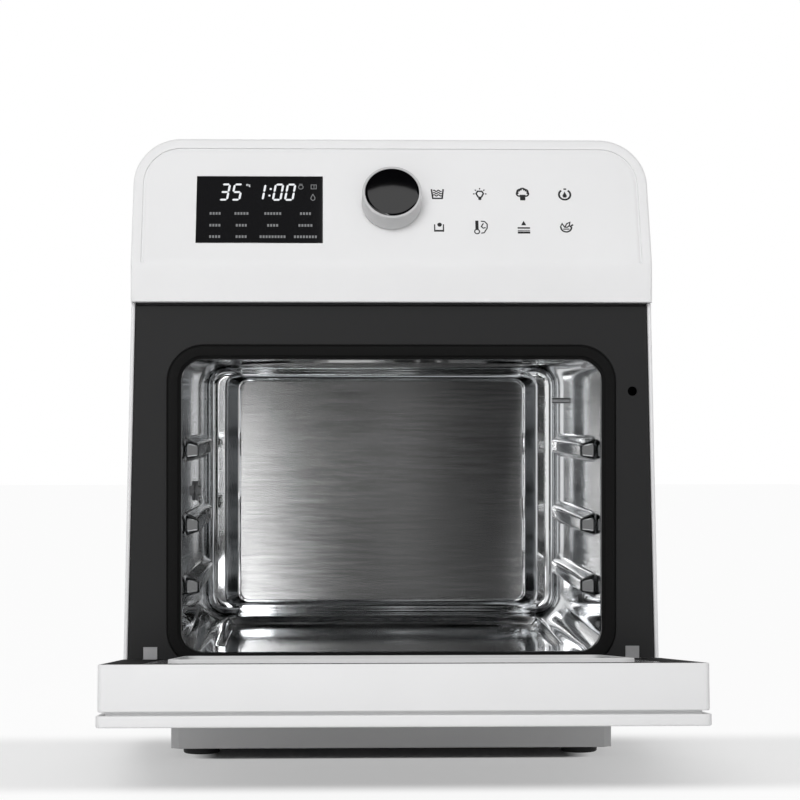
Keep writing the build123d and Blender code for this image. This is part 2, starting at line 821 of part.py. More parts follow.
def make_insulation_wrap():
    """Fibre wrap round the cavity's sides and back."""
    inner_half = cavity_width / 2 + liner_wall + seat_gap
    outer_half = inner_half + insulation_side
    z0, z1 = cavity_bottom + 2, cavity_top
    back = cavity_back + liner_wall + seat_gap
    wrap = box(-outer_half, outer_half, insulation_start, back + insulation_side, z0, z1)
    wrap -= box(-inner_half, inner_half, insulation_start - 1, back, z0 - 1, z1 + 1)
    wrap -= along_x(nozzle_flange_radius + 1, nozzle_y, nozzle_z, -cavity_width, 0)
    return wrap - along_x(nozzle_flange_radius + 1, probe_y, probe_z, 0, cavity_width)


def make_liner_support():
    """Bridge from the base pan to the underside of the cavity."""
    top = floor_z - floor_pan_depth - liner_wall - seat_gap
    y0, y1 = support_y - support_depth, support_y
    half = support_width / 2
    bridge = box(-half, half, y0, y1, top - support_wall, top)
    for side in (-1, 1):
        x = side * half
        leg = (min(x, x - side * support_wall), max(x, x - side * support_wall))
        bridge += box(leg[0], leg[1], y0, y1, pan_top, top)
        foot = (min(x, x + side * 14), max(x, x + side * 14))
        bridge += box(foot[0], foot[1], y0, y1, pan_top, pan_top + support_wall)
    return bridge


# Heater, fans and lamp


def make_heater_housing():
    """Drawn steel cup over the ceiling opening, with a shaft hole and terminal holes."""
    cup = upright(housing_radius, 0, fan_y, ceiling_z, housing_top)
    cup = fillet(cup.edges().group_by(Axis.Z)[-1], 6)
    cup += upright(housing_radius + housing_flange, 0, fan_y, ceiling_z, ceiling_z + housing_wall)
    hollow = upright(housing_radius - housing_wall, 0, fan_y, ceiling_z - 1, housing_top - housing_wall)
    cup -= fillet(hollow.edges().group_by(Axis.Z)[-1], 5)
    cup -= upright(rotor_shaft_radius + 2, 0, fan_y, ceiling_z, housing_top + 1)
    for x, y in heater_ends():
        cup -= upright(heater_tube_radius + turn_gap, x, y, ceiling_z, housing_top + 1)
    return cup


def heater_ends():
    """The two places where the heater's ends turn up, as (x, y)."""
    half = math.radians(heater_gap_angle / 2)
    x = heater_ring_radius * math.sin(half)
    y = fan_y + heater_ring_radius * math.cos(half)
    return [(-x, y), (x, y)]


def make_heater_element():
    """Sheathed tube heater: one open ring with both ends turned up through the housing."""
    z = housing_top - heater_drop
    section = Plane.XZ * Pos(heater_ring_radius, z) * Circle(heater_tube_radius)
    ring = revolve(section, Axis.Z, 360 - heater_gap_angle)
    ring = ring.rotate(Axis.Z, 90 + heater_gap_angle / 2)
    heater = Pos(0, fan_y, 0) * ring
    for x, y in heater_ends():
        heater += Pos(x, y, z) * Sphere(heater_tube_radius)
        heater += upright(heater_tube_radius, x, y, z, housing_top + heater_terminal)
    return heater


def make_heater_guard():
    """Slotted disc under the ceiling opening."""
    top = cavity_top - turn_gap
    guard = upright(guard_radius, 0, fan_y, top - guard_wall, top)
    for radius, count in guard_rings:
        slot = Plane.XY.offset(top - guard_wall - 1) * Pos(radius, fan_y) * Rot(0, 0, 90) * SlotOverall(
            guard_slot_length, guard_slot_width)
        cutter = extrude(slot, guard_wall + 2)
        for copy in ring_of(cutter, count, 0, fan_y):
            guard -= copy
    return guard


def make_hot_air_fan():
    """Impeller in the housing: a disc with straight blades below it."""
    disc_top = housing_top - housing_wall - 3
    disc_low = disc_top - fan_wall
    fan = upright(hot_fan_radius, 0, fan_y, disc_low, disc_top)
    fan += upright(fan_hub_radius, 0, fan_y, disc_low - hot_fan_blade, disc_top)
    blade = Pos(0, fan_y, disc_low - hot_fan_blade / 2) * Rot(0, 0, 8) * Pos(
        (fan_hub_radius + hot_fan_radius) / 2 + 3, 0, 0) * Box(
        hot_fan_radius - fan_hub_radius - 8, fan_wall, hot_fan_blade + 0.4)
    for copy in ring_of(blade, hot_fan_blades, 0, fan_y):
        fan += copy
    return fan - upright(rotor_shaft_radius, 0, fan_y, 0, body_height)


def make_cooling_fan():
    """Open blade fan between the housing and the motor."""
    low = housing_top + 4
    fan = upright(fan_hub_radius, 0, fan_y, low, low + cool_fan_height)
    blade = Pos(0, fan_y, low + cool_fan_height / 2) * Pos(
        (fan_hub_radius + cool_fan_radius) / 2 - 1, 0, 0) * Rot(32, 0, 0) * Box(
        cool_fan_radius - fan_hub_radius + 2, 15, fan_wall)
    for copy in ring_of(blade, cool_fan_blades, 0, fan_y):
        fan += copy
    return fan - upright(rotor_shaft_radius, 0, fan_y, 0, body_height)


def make_rotor_shaft():
    """Shaft that carries both fans."""
    low = housing_top - housing_wall - 3 - fan_wall - hot_fan_blade
    high = housing_top + bracket_lift + shell_wall + motor_height - 6
    return upright(rotor_shaft_radius, 0, fan_y, low, high)


def make_motor_bracket():
    """Three posts and a ring plate that hold the motor over the cooling fan."""
    top = housing_top + bracket_lift
    bracket = upright(bracket_radius, 0, fan_y, top, top + shell_wall)
    bracket -= upright(motor_radius - 6, 0, fan_y, top - 1, top + 3)
    post = upright(bracket_post_radius, bracket_radius - bracket_post_radius - 0.5, fan_y, housing_top, top + 0.5)
    for copy in ring_of(post, 3, 0, fan_y):
        bracket += copy
    return bracket


def make_fan_motor():
    """Motor can with a bearing boss and a blind shaft bore."""
    low = housing_top + bracket_lift + shell_wall
    motor = upright(motor_radius, 0, fan_y, low, low + motor_height)
    motor = fillet(motor.edges().group_by(Axis.Z)[-1], 3)
    motor += upright(9, 0, fan_y, low - 4, low + 1)
    bore_top = low + motor_height - 6 + seat_gap
    return motor - upright(rotor_shaft_radius + turn_gap, 0, fan_y, low - 10, bore_top)


def make_lamp_holder():
    """Ceramic lamp holder on the ceiling."""
    z0, z1 = ceiling_z, ceiling_z + lamp_height
    holder = upright(lamp_radius, lamp_x, lamp_y, z0, z1)
    holder -= upright(lamp_radius - 3, lamp_x, lamp_y, z0 - 1, z1 - 8)
    return holder - upright(bulb_radius / 2, lamp_x, lamp_y, z0, z1 - 2)


def make_lamp_bulb():
    """Small capsule bulb with its foot in the holder."""
    z1 = ceiling_z + lamp_height
    bulb = upright(bulb_radius, lamp_x, lamp_y, ceiling_z + 4, z1 - 8.2)
    bulb = fillet(bulb.edges().group_by(Axis.Z)[0], bulb_radius * 0.8)
    return bulb + upright(bulb_radius / 2 - turn_gap, lamp_x, lamp_y, z1 - 9, z1 - 2.2)


def make_lamp_lens():
    """Glass cover under the ceiling, with a spigot in the lamp opening."""
    top = cavity_top - turn_gap
    lens = upright(lamp_radius, lamp_x, lamp_y, top - lens_wall, top)
    lens = fillet(lens.edges().group_by(Axis.Z)[0], 1.2)
    return lens + upright(lamp_radius - 3 - seat_gap, lamp_x, lamp_y, top - 0.5, ceiling_z)


# Steam system


def make_water_tank():
    """Open-topped clear tank."""
    top = body_height - lid_wall - turn_gap
    middle = (tank_bottom + top) / 2
    tank = Pos(tank_x, tank_y, middle) * Box(tank_width, tank_depth, top - tank_bottom)
    tank = fillet(tank.edges().filter_by(Axis.Z), 4)
    inside = rounded_z(tank_width - 2 * tank_wall, tank_depth - 2 * tank_wall, 2.5,
                       tank_bottom + tank_wall, top + 1, tank_x, tank_y)
    return tank - inside - upright(tank_outlet_radius, outlet_x, tank_y, tank_bottom - 1,
                                   tank_bottom + tank_wall + 1)


def make_tank_lid():
    """Lid flush with the cabinet's top, with a finger pocket and a grip bar across it."""
    z1 = body_height
    z0 = z1 - lid_wall
    lid = rounded_z(tank_width, tank_depth, 4, z0, z1, tank_x, tank_y)
    plug_x = grip_length + 2 * tank_wall + 4
    plug_y = grip_width + 2 * tank_wall
    lid += rounded_z(plug_x, plug_y, 4, z1 - lid_plug_depth, z0 + 0.5, tank_x, tank_y)
    lid -= rounded_z(grip_length, grip_width, 6, z1 - lid_plug_depth + tank_wall, z1 + 1, tank_x, tank_y)
    bar = box(tank_x - grip_bar / 2, tank_x + grip_bar / 2, tank_y - grip_width / 2 - 1,
              tank_y + grip_width / 2 + 1, z1 - 4, z1)
    return lid + bar


def make_tank_cradle():
    """Sleeve that holds the tank, with a flange under the top and an outlet below."""
    gap = slide_gap
    inner_x, inner_y = tank_width + 2 * gap, tank_depth + 2 * gap
    outer_x, outer_y = inner_x + 2 * cradle_wall, inner_y + 2 * cradle_wall
    low = tank_bottom - gap - cradle_wall
    top = body_height - shell_wall - seat_gap
    sleeve = rounded_z(outer_x, outer_y, 6, low, top, tank_x, tank_y)
    flange_x, flange_y = outer_x + 16, outer_y + 8
    sleeve += rounded_z(flange_x, flange_y, 8, top - cradle_wall, top, tank_x, tank_y)
    sleeve -= rounded_z(inner_x, inner_y, 4.5, low + cradle_wall, top + 1, tank_x, tank_y)
    sleeve += upright(hose_radius, outlet_x, tank_y, low - 8, low + 0.5)
    return sleeve - upright(hose_bore, outlet_x, tank_y, low - 10, low + cradle_wall + 1)


def cradle_outlet():
    """The lower end of the cradle's outlet."""
    return outlet_x, tank_y, tank_bottom - slide_gap - cradle_wall - 8


def make_suction_hose():
    """Hose from the tank's outlet down to the pump."""
    start = cradle_outlet()
    end_z = pan_top + pump_height + 6
    level = (start[2] + end_z) / 2
    points = [start, (start[0], start[1], level), (pump_x, pump_y, level), (pump_x, pump_y, end_z)]
    return tube_along(points, hose_radius, hose_bore, hose_bend)


def make_water_pump():
    """Small pump block on the base pan, with two nipples."""
    half = pump_width / 2
    z1 = pan_top + pump_height
    pump = box(pump_x - half, pump_x + half, pump_y - half, pump_y + half, pan_top, z1)
    pump = fillet(pump.edges().filter_by(Axis.Z), 5)
    pump += upright(hose_radius, pump_x, pump_y, z1 - 0.5, z1 + 6)
    side = along_x(hose_radius, pump_y, water_hose_z(), pump_x - half - 5, pump_x - half + 0.5)
    return pump + side


def water_hose_z():
    """The height of the hose between the pump and the boiler."""
    return pan_top + boiler_leg + boiler_height / 2


def make_water_hose():
    """Short hose from the pump to the boiler."""
    x0 = boiler_x + boiler_width / 2 + 5
    x1 = pump_x - pump_width / 2 - 5
    hose = along_x(hose_radius, pump_y, water_hose_z(), x0, x1)
    return hose - along_x(hose_bore, pump_y, water_hose_z(), x0 - 1, x1 + 1)


def boiler_outlet():
    """The top of the boiler's steam outlet."""
    return boiler_x - boiler_width / 2 + 12, pump_y, pan_top + boiler_leg + boiler_height + 6


def make_steam_boiler():
    """Cast aluminium steam generator on four legs."""
    low = pan_top + boiler_leg
    high = low + boiler_height
    half_x, half_y = boiler_width / 2, boiler_depth / 2
    block = box(boiler_x - half_x, boiler_x + half_x, pump_y - half_y, pump_y + half_y, low, high)
    block = fillet(block.edges().filter_by(Axis.Z), 6)
    for i in (-1, 1):
        for j in (-1, 1):
            block += upright(boiler_leg_radius, boiler_x + i * (half_x - 10), pump_y + j * (half_y - 8),
                             pan_top, low + 0.5)
    for i in range(-2, 3):
        x = boiler_x + i * boiler_width / 6
        block += box(x - 1.5, x + 1.5, pump_y - half_y + 4, pump_y + half_y - 4, high - 0.5, high + 5)
    block += along_x(hose_radius, pump_y, water_hose_z(), boiler_x + half_x - 0.5, boiler_x + half_x + 5)
    outlet = boiler_outlet()
    return block + upright(hose_radius, outlet[0], outlet[1], high - 0.5, outlet[2])


def nozzle_inlet():
    """The lower end of the nozzle's elbow, outside the insulation."""
    x = -(cavity_width / 2 + liner_wall + seat_gap + insulation_side + 12)
    return x, nozzle_y, nozzle_z - 14


def make_steam_hose():
    """Hose from the boiler round the cavity to the nozzle."""
    start, end = boiler_outlet(), nozzle_inlet()
    rise = end[2] - start[2]
    level = start[2] + steam_level_share * rise
    points = [start, (start[0], start[1], level), (end[0], start[1], level), (end[0], end[1], level), end]
    return tube_along(points, hose_radius, hose_bore, steam_bend_share * rise)


def make_steam_nozzle():
    """Nozzle through the cavity's left wall with an elbow that points down."""
    wall = -wall_x(nozzle_y)
    inlet = nozzle_inlet()
    flange = along_x(nozzle_flange_radius, nozzle_y, nozzle_z, wall + seat_gap, wall + seat_gap + 1.6)
    nozzle = flange + along_x(nozzle_radius, nozzle_y, nozzle_z, inlet[0], wall + seat_gap + 3.5)
    nozzle += Pos(inlet[0], inlet[1], nozzle_z) * Sphere(hose_radius)
    nozzle += upright(hose_radius, inlet[0], inlet[1], inlet[2], nozzle_z)
    return nozzle - along_x(1.2, nozzle_y, nozzle_z, wall - 3, wall + 20)


def make_temperature_probe():
    """Rod probe through the right wall with a hexagon outside it."""
    wall = wall_x(probe_y)
    rod = along_x(probe_radius, probe_y, probe_z, wall - probe_reach, wall + liner_wall + 12)
    seat = wall + liner_wall + seat_gap
    nut = extrude(Plane.YZ.offset(seat) * Pos(probe_y, probe_z) * RegularPolygon(5, 6), 3)
    return rod + nut


def power_board_corners():
    """The places of the bosses that hold the power board, as (x, z)."""
    across, up = power_board_width / 2 - 6, power_board_height / 2 - 6
    return [(power_board_x + i * across, power_board_z + j * up) for i in (-1, 1) for j in (-1, 1)]


def make_power_board():
    """Power board with its tall components, on the rear cover's bosses."""
    y1 = cover_front - power_board_standoff
    y0 = y1 - board_wall
    half_x, half_z = power_board_width / 2, power_board_height / 2
    x, z = power_board_x, power_board_z
    board = box(x - half_x, x + half_x, y0, y1, z - half_z, z + half_z)
    board += box(x - 32, x - 4, y0 - 20, y0 + 0.2, z - 40, z - 12)
    board += box(x + 6, x + 26, y0 - 16, y0 + 0.2, z - 38, z - 14)
    board += box(x - 30, x - 12, y0 - 13, y0 + 0.2, z + 14, z + 38)
    board += along_y(6, x + 2, z + 24, y0 - 18, y0 + 0.2)
    board += along_y(5, x + 20, z + 26, y0 - 15, y0 + 0.2)
    return board


def make_rear_gland():
    """Cord gland in the rear cover, with an inner nut."""
    y1 = cover_front + cover_wall
    gland = along_y(gland_radius - turn_gap, gland_x, gland_z, cover_front - 5, y1 + 1)
    gland += along_y(gland_radius + 3, gland_x, gland_z, y1, y1 + gland_flange)
    nose = Pos(gland_x, y1 + gland_nose / 2, gland_z) * Rot(-90, 0, 0) * Cone(
        gland_radius, gland_radius - 2, gland_nose)
    nut = along_y(gland_radius + 2.5, gland_x, gland_z, cover_front - 4, cover_front)
    gland = gland + nose + nut
    return gland - along_y(gland_bore, gland_x, gland_z, cover_front - 10, y1 + gland_nose + 1)


def make_door_sensor():
    """Sensor capsule behind the front frame's small hole."""
    y0 = frame_back
    capsule = box(sensor_x - 8, sensor_x + 6, y0 + 2, y0 + 9, sensor_z - 10, sensor_z + 10)
    capsule += along_y(sensor_hole_radius + 1.5, sensor_x, sensor_z, y0, y0 + 2.5)
    return capsule


# Door, drawn closed and opened at the end


def hinge_notch(side, margin):
    """The pocket in the door's lower inner edge round one hinge."""
    half = ear_wall / 2 + cheek_gap + cheek_wall + margin
    x = side * hinge_x
    return box(x - half, x + half, hinge_y - notch_reach - margin, 5, door_bottom - 5, hinge_z + notch_reach - 1 + margin)


def make_door_frame():
    """White block frame of the door, with a rim round the inner panel."""
    inner, outer = -door_gap, -door_gap - door_block
    block = side_trapezoid(0, door_bottom, door_top, outer, inner, door_corner)
    recess = side_trapezoid(door_rim, door_bottom + door_rim, door_top - door_rim,
                            inner - door_inner_wall, 1, door_corner - door_rim)
    block -= recess
    block -= rounded_y(window_width + 4, window_height + 4, window_corner, outer - 1, 1, 0, window_z)
    glass_half = glass_margin + 0.2
    block -= rounded_y(window_width + 2 * glass_half, window_height + 2 * glass_half, window_corner,
                       inner - door_inner_wall - glass_wall - 0.2, 1, 0, window_z)
    block -= box(-grip_slot_width / 2, grip_slot_width / 2, outer - 1, -grip_slot_floor,
                 grip_slot_z - grip_slot_height / 2, grip_slot_z + grip_slot_height / 2)
    for side in (-1, 1):
        block -= hinge_notch(side, 0.05)
    return block - magnet_space(0.1)


def magnet_space(margin):
    """The door magnet's block, level with the sensor hole."""
    y1 = -door_gap - door_inner_wall - 2.5 + margin
    return box(sensor_x - 4 - margin, sensor_x + 4 + margin, y1 - 5 - 2 * margin, y1,
               sensor_z - 7 - margin, sensor_z + 7 + margin)


def make_door_magnet():
    """Magnet inside the door that the sensor feels."""
    return magnet_space(0)


def make_door_inner_panel():
    """Black sheet over the door's inner face, open round the glass frame."""
    inner = -door_gap
    inset = door_rim + 0.1
    sheet = side_trapezoid(inset, door_bottom + inset, door_top - inset, inner - door_inner_wall, inner,
                           door_corner - door_rim)
    sheet -= rounded_y(glass_frame_width + 0.4, glass_frame_height + 0.4, window_corner + 0.2,
                       inner - 5, 1, 0, window_z)
    for side in (-1, 1):
        sheet -= hinge_notch(side, 0.3)
    return sheet


def make_door_glass_frame():
    """Bright steel frame round the inner glass."""
    inner = -door_gap
    frame = rounded_y(glass_frame_width, glass_frame_height, window_corner, inner - door_inner_wall, inner,
                      0, window_z)
    return frame - rounded_y(window_width, window_height, window_corner - 2, inner - 5, 1, 0, window_z)


def make_door_inner_glass():
    """Inner pane behind the steel frame."""
    y1 = -door_gap - door_inner_wall
    return rounded_y(window_width + 2 * glass_margin, window_height + 2 * glass_margin, window_corner - 0.2,
                     y1 - glass_wall, y1, 0, window_z)


def make_door_outer_panel():
    """Outer panel behind a shadow groove, with a window and a finger slot."""
    y1 = -door_gap - door_block
    low, high = door_bottom, door_top
    spacer = side_trapezoid(door_groove_inset, low + door_groove_inset, high - door_groove_inset,
                            y1 - door_groove, y1)
    over = door_outer_overhang
    y2 = y1 - door_groove
    plate = side_trapezoid(-over, low, high, y2 - door_outer_wall, y2, door_corner)
    front = plate.edges().group_by(Axis.Y)[0]
    plate = chamfer(front, 0.8)
    panel = spacer + plate
    panel -= rounded_y(window_width, window_height, window_corner, y2 - 20, y1 + 1, 0, window_z)
    glass = 2 * glass_margin + 0.4
    panel -= rounded_y(window_width + glass, window_height + glass, window_corner, y1 - glass_wall, y1 + 1,
                       0, window_z)
    half = grip_slot_width / 2 - 2
    return panel - rounded_y(2 * half, grip_slot_height - 2, 5, y2 - 20, y1 + 1, 0, grip_slot_z)


def make_door_outer_glass():
    """Outer pane held between the block and the outer panel."""
    y1 = -door_gap - door_block
    return rounded_y(window_width + 2 * glass_margin, window_height + 2 * glass_margin, window_corner - 0.2,
                     y1 - glass_wall, y1, 0, window_z)


def make_hinge_arm(side):
    """Steel channel in the door whose cheeks carry one hinge pin."""
    x = side * hinge_x
    slot = ear_wall / 2 + cheek_gap
    half = slot + cheek_wall
    y0 = hinge_y - notch_reach
    y1 = -door_gap - 0.2
    z0, z1 = door_bottom + 0.4, hinge_z + notch_reach - 1
    arm = box(x - half, x + half, y0, y1, z0, z1)
    arm -= box(x - slot, x + slot, y0 + cheek_wall, y1 + 1, z0 - 1, z1 + 1)
    return arm - along_x(pin_radius, hinge_y, hinge_z, x - 20, x + 20)


def make_hinge_pins():
    """Two hinge pins, held in the arms' cheeks."""
    half = ear_wall / 2 + cheek_gap + cheek_wall
    pins = [along_x(pin_radius, hinge_y, hinge_z, s * hinge_x - half, s * hinge_x + half) for s in (-1, 1)]
    return Compound(children=pins)


def make_hinge_bracket(side):
    """Fixed bracket: a plate on the front frame and an ear through which the pin runs."""
    x = side * hinge_x
    half = hinge_plate_width / 2
    plate_z0 = hinge_z - ear_neck / 2 - 5
    plate = box(x - half, x + half, frame_recess - hinge_plate_wall, frame_recess, plate_z0,
                plate_z0 + hinge_plate_height)
    ear = along_x(ear_radius, hinge_y, hinge_z, x - ear_wall / 2, x + ear_wall / 2)
    ear += box(x - ear_wall / 2, x + ear_wall / 2, hinge_y, frame_back + 8, hinge_z - ear_neck / 2,
               hinge_z + ear_neck / 2)
    bracket = plate + ear
    return bracket - along_x(pin_radius + pin_gap, hinge_y, hinge_z, x - 20, x + 20)


def opened(shape):
    """A door piece turned from its closed place to its open stop."""
    return shape.rotate(hinge_axis, door_open_angle)


def make_all():
    """Every sub-part by name, in the cabinet's own frame."""
    parts = {
        "outer_shell": make_outer_shell(),
        "rear_cover": make_rear_cover(),
        "rear_screws": make_rear_screws(),
        "base_pan": make_base_pan(),
        "plinth": make_plinth(),
        "feet": make_feet(),
        "drip_tray": make_drip_tray(),
        "front_frame": make_front_frame(),
        "control_fascia": make_control_fascia(),
        "display_window": make_display_window(),
        "display_module": make_display_module(),
        "display_board": make_display_board(),
        "board_screws": make_board_screws(),
        "encoder_body": make_encoder_body(),
        "push_plunger": make_push_plunger(),
        "encoder_shaft": make_encoder_shaft(),
        "knob_body": make_knob_body(),
        "knob_cap": make_knob_cap(),
        "cavity_liner": make_cavity_liner(),
        "cavity_gasket": make_cavity_gasket(),
        "back_panel": make_back_panel(),
        "insulation_wrap": make_insulation_wrap(),
        "liner_support": make_liner_support(),
        "heater_housing": make_heater_housing(),
        "heater_element": make_heater_element(),
        "heater_guard": make_heater_guard(),
        "hot_air_fan": make_hot_air_fan(),
        "cooling_fan": make_cooling_fan(),
        "rotor_shaft": make_rotor_shaft(),
        "motor_bracket": make_motor_bracket(),
        "fan_motor": make_fan_motor(),
        "lamp_holder": make_lamp_holder(),
        "lamp_bulb": make_lamp_bulb(),
        "lamp_lens": make_lamp_lens(),
        "water_tank": make_water_tank(),
        "tank_lid": make_tank_lid(),
        "tank_cradle": make_tank_cradle(),
        "suction_hose": make_suction_hose(),
        "water_pump": make_water_pump(),
        "water_hose": make_water_hose(),
        "steam_boiler": make_steam_boiler(),
        "steam_hose": make_steam_hose(),
        "steam_nozzle": make_steam_nozzle(),
        "temperature_probe": make_temperature_probe(),
        "power_board": make_power_board(),
        "rear_gland": make_rear_gland(),
        "door_sensor": make_door_sensor(),
        "hinge_bracket_left": make_hinge_bracket(-1),
        "hinge_bracket_right": make_hinge_bracket(1),
        "door_frame": opened(make_door_frame()),
        "door_inner_panel": opened(make_door_inner_panel()),
        "door_glass_frame": opened(make_door_glass_frame()),
        "door_inner_glass": opened(make_door_inner_glass()),
        "door_outer_panel": opened(make_door_outer_panel()),
        "door_outer_glass": opened(make_door_outer_glass()),
        "door_magnet": opened(make_door_magnet()),
        "hinge_arm_left": opened(make_hinge_arm(-1)),
        "hinge_arm_right": opened(make_hinge_arm(1)),
        "hinge_pins": opened(make_hinge_pins()),
    }
    return parts


parts = make_all()
front_reach = min(shape.bounding_box().min.Y for shape in parts.values())
back_reach = max(shape.bounding_box().max.Y for shape in parts.values())
front_y = -(front_reach + back_reach) / 2

os.makedirs("parts", exist_ok=True)
for name, shape in parts.items():
    export_step(shape.moved(Location((0, front_y, 0))), f"parts/{name}.step")
print(f"{len(parts)} sub-parts, front plane at Y = {front_y:.4f}")
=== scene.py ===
"""Looks of a countertop steam air-fry oven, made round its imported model.

Sizes are in millimetres of the cabinet's own frame: X to the right, Y to the back from the cabinet's front
plane, Z up from the counter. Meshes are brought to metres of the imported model's frame when they are built.
"""

import json
import logging
import math
from dataclasses import dataclass, field
from enum import Enum
from typing import Callable, Dict, Iterable, List, Optional, Sequence, Tuple

import bmesh
import bpy
import numpy as np
from bpy.types import ID, Material, Mesh, Node, NodeOutputs, NodeSocket, NodeTree, Object
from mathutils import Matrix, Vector


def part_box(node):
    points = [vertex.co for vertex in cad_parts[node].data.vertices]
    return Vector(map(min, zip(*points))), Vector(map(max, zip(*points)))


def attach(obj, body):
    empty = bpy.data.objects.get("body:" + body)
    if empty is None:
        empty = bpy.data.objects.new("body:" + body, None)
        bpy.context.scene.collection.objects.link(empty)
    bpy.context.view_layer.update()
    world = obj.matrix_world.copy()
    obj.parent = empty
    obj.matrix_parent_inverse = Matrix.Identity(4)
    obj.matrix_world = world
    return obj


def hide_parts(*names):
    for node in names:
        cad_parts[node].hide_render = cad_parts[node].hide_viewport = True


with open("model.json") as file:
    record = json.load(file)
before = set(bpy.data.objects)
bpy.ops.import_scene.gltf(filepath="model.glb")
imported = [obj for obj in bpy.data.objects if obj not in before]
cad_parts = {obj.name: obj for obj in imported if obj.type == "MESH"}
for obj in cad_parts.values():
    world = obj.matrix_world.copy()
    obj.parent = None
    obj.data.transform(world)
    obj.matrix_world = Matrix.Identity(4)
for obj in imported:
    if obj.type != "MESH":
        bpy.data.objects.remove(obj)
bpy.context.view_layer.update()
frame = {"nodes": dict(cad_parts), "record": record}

log = logging.getLogger("oven")

MM = 0.001
FRONT_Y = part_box("outer_shell")[0].y / MM
WELD = 2e-6
EDGE_BAND = 0.25
TOOL_REACH = 3.0

Pair = Tuple[float, float]
Triple = Tuple[float, float, float]
Colour = Place = Triple
Points = np.ndarray


class Body(Enum):
    """The bodies that pieces ride on."""

    CABINET = "cabinet"
    DOOR = "door"
    KNOB = "knob"
    TRAY = "tray"
    TANK = "tank"


class Sharp(Enum):
    """Angles in degrees from which a piece's edges stay crisp."""

    FINE = 32.0
    BODY = 40.0
    TURNED = 45.0
    PRESSED = 50.0


@dataclass(frozen=True)
class Span:
    """A node's box in the cabinet's frame, in millimetres."""

    x0: float
    x1: float
    y0: float
    y1: float
    z0: float
    z1: float

    @classmethod
    def of(cls, node: str) -> "Span":
        """Reads a node's box, in millimetres from the cabinet's front plane."""
        low, high = (np.array(corner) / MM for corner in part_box(node))
        return cls(low[0], high[0], low[1] - FRONT_Y, high[1] - FRONT_Y, low[2], high[2])

    @property
    def middle(self) -> Triple:
        """The box's middle."""
        return (self.x0 + self.x1) / 2, (self.y0 + self.y1) / 2, (self.z0 + self.z1) / 2


# Shapes worked out as arrays


def ease(share: Points) -> Points:
    """Smooth step: three times the square less twice the cube of a share held between 0 and 1."""
    held = np.clip(share, 0.0, 1.0)
    return held * held * (3.0 - 2.0 * held)


def fillet_steps(radius: float, steps: int = 5) -> List[Pair]:
    """A quarter circle from a side to a face: pairs of inset, r less r cosine, and drop, r less r sine."""
    turn = np.linspace(0.0, math.pi / 2, steps + 1)
    return list(zip(radius * (1 - np.cos(turn)), radius * (1 - np.sin(turn))))


def rounded_profile(corners: Sequence[Triple], closed: bool = True,
                    steps: int = 5) -> Points:
    """A profile of straight runs whose corners are arcs tangent to both runs.

    Args:
        corners: Corner places and radii, as (a, b, radius).
        closed: Whether the last corner joins the first.
        steps: Number of runs in each arc.

    Returns:
        The profile's points, as rows of (a, b).
    """
    places = np.array([(a, b) for a, b, _ in corners], float)
    count = len(places)
    points = []
    for i, (a, b, radius) in enumerate(corners):
        here = np.array((a, b), float)
        if radius <= 0 or (not closed and i in (0, count - 1)):
            points.append(here)
            continue
        back = places[i - 1] - here
        on = places[(i + 1) % count] - here
        back /= np.linalg.norm(back)
        on /= np.linalg.norm(on)
        half = math.acos(float(np.clip(back @ on, -1, 1))) / 2
        reach = radius / math.tan(half)
        middle = here + (back + on) / np.linalg.norm(back + on) * radius / math.sin(half)
        start, end = here + back * reach - middle, here + on * reach - middle
        turn = math.atan2(start[0] * end[1] - start[1] * end[0], float(start @ end))
        angles = np.linspace(0.0, turn, steps + 1)[:, None]
        aside = np.array((-start[1], start[0]))
        points.extend(middle + start * np.cos(angles) + aside * np.sin(angles))
    return np.array(points)


def even_shares(runs: int) -> Points:
    """The shares that split a side into even runs, without its ends."""
    return np.linspace(0.0, 1.0, runs + 1)[1:-1]


def rounded_ring(half_x: float, low: float, high: float, radius: float, steps: int = 8,
                 across: Sequence[float] = (), up: Sequence[float] = (), centre: float = 0.0) -> Points:
    """A rounded rectangle seen from the front: four quarter circles joined by straight sides.

    Args:
        half_x: Half the width.
        low: Height of the lower side.
        high: Height of the upper side.
        radius: Corner radius.
        steps: Runs in each corner.
        across: Places of extra points along the lower and upper side, as shares of the side.
        up: Places of extra points along the left and right side, as shares of the side.
        centre: X of the middle.

    Returns:
        Points (x, z), anticlockwise from the lower left corner.
    """
    x0, x1 = centre - half_x, centre + half_x
    turn = np.linspace(0.0, math.pi / 2, steps + 1)
    across, up = np.asarray(across, float), np.asarray(up, float)

    def corner(x: float, z: float, start: float) -> Points:
        """One quarter circle."""
        return np.stack([x + radius * np.cos(start + turn), z + radius * np.sin(start + turn)], axis=1)

    def side(start: Points, end: Points, shares: Points) -> Points:
        """Extra points between two corners."""
        return start + (end - start) * shares[:, None]

    quarter = math.pi / 2
    corners = [corner(x1 - radius, low + radius, -quarter), corner(x1 - radius, high - radius, 0.0),
               corner(x0 + radius, high - radius, quarter), corner(x0 + radius, low + radius, 2 * quarter)]
    return np.concatenate([
        side(corners[3][-1], corners[0][0], across), corners[0],
        side(corners[0][-1], corners[1][0], up), corners[1],
        side(corners[1][-1], corners[2][0], 1 - across[::-1]), corners[2],
        side(corners[2][-1], corners[3][0], 1 - up[::-1]), corners[3]])


def at_depth(ring: Points, y: float) -> Points:
    """A front-view ring (x, z) set at one depth, as points (x, y, z)."""
    return np.stack([ring[:, 0], np.broadcast_to(y, len(ring)), ring[:, 1]], axis=1)


def depth_rings(rows: Sequence[Tuple[Callable[[float], Points], float, float]]) -> List[Points]:
    """Rings from rows of an outline, how far it is moved, and its depth."""
    return [at_depth(outline(move), y) for outline, move, y in rows]


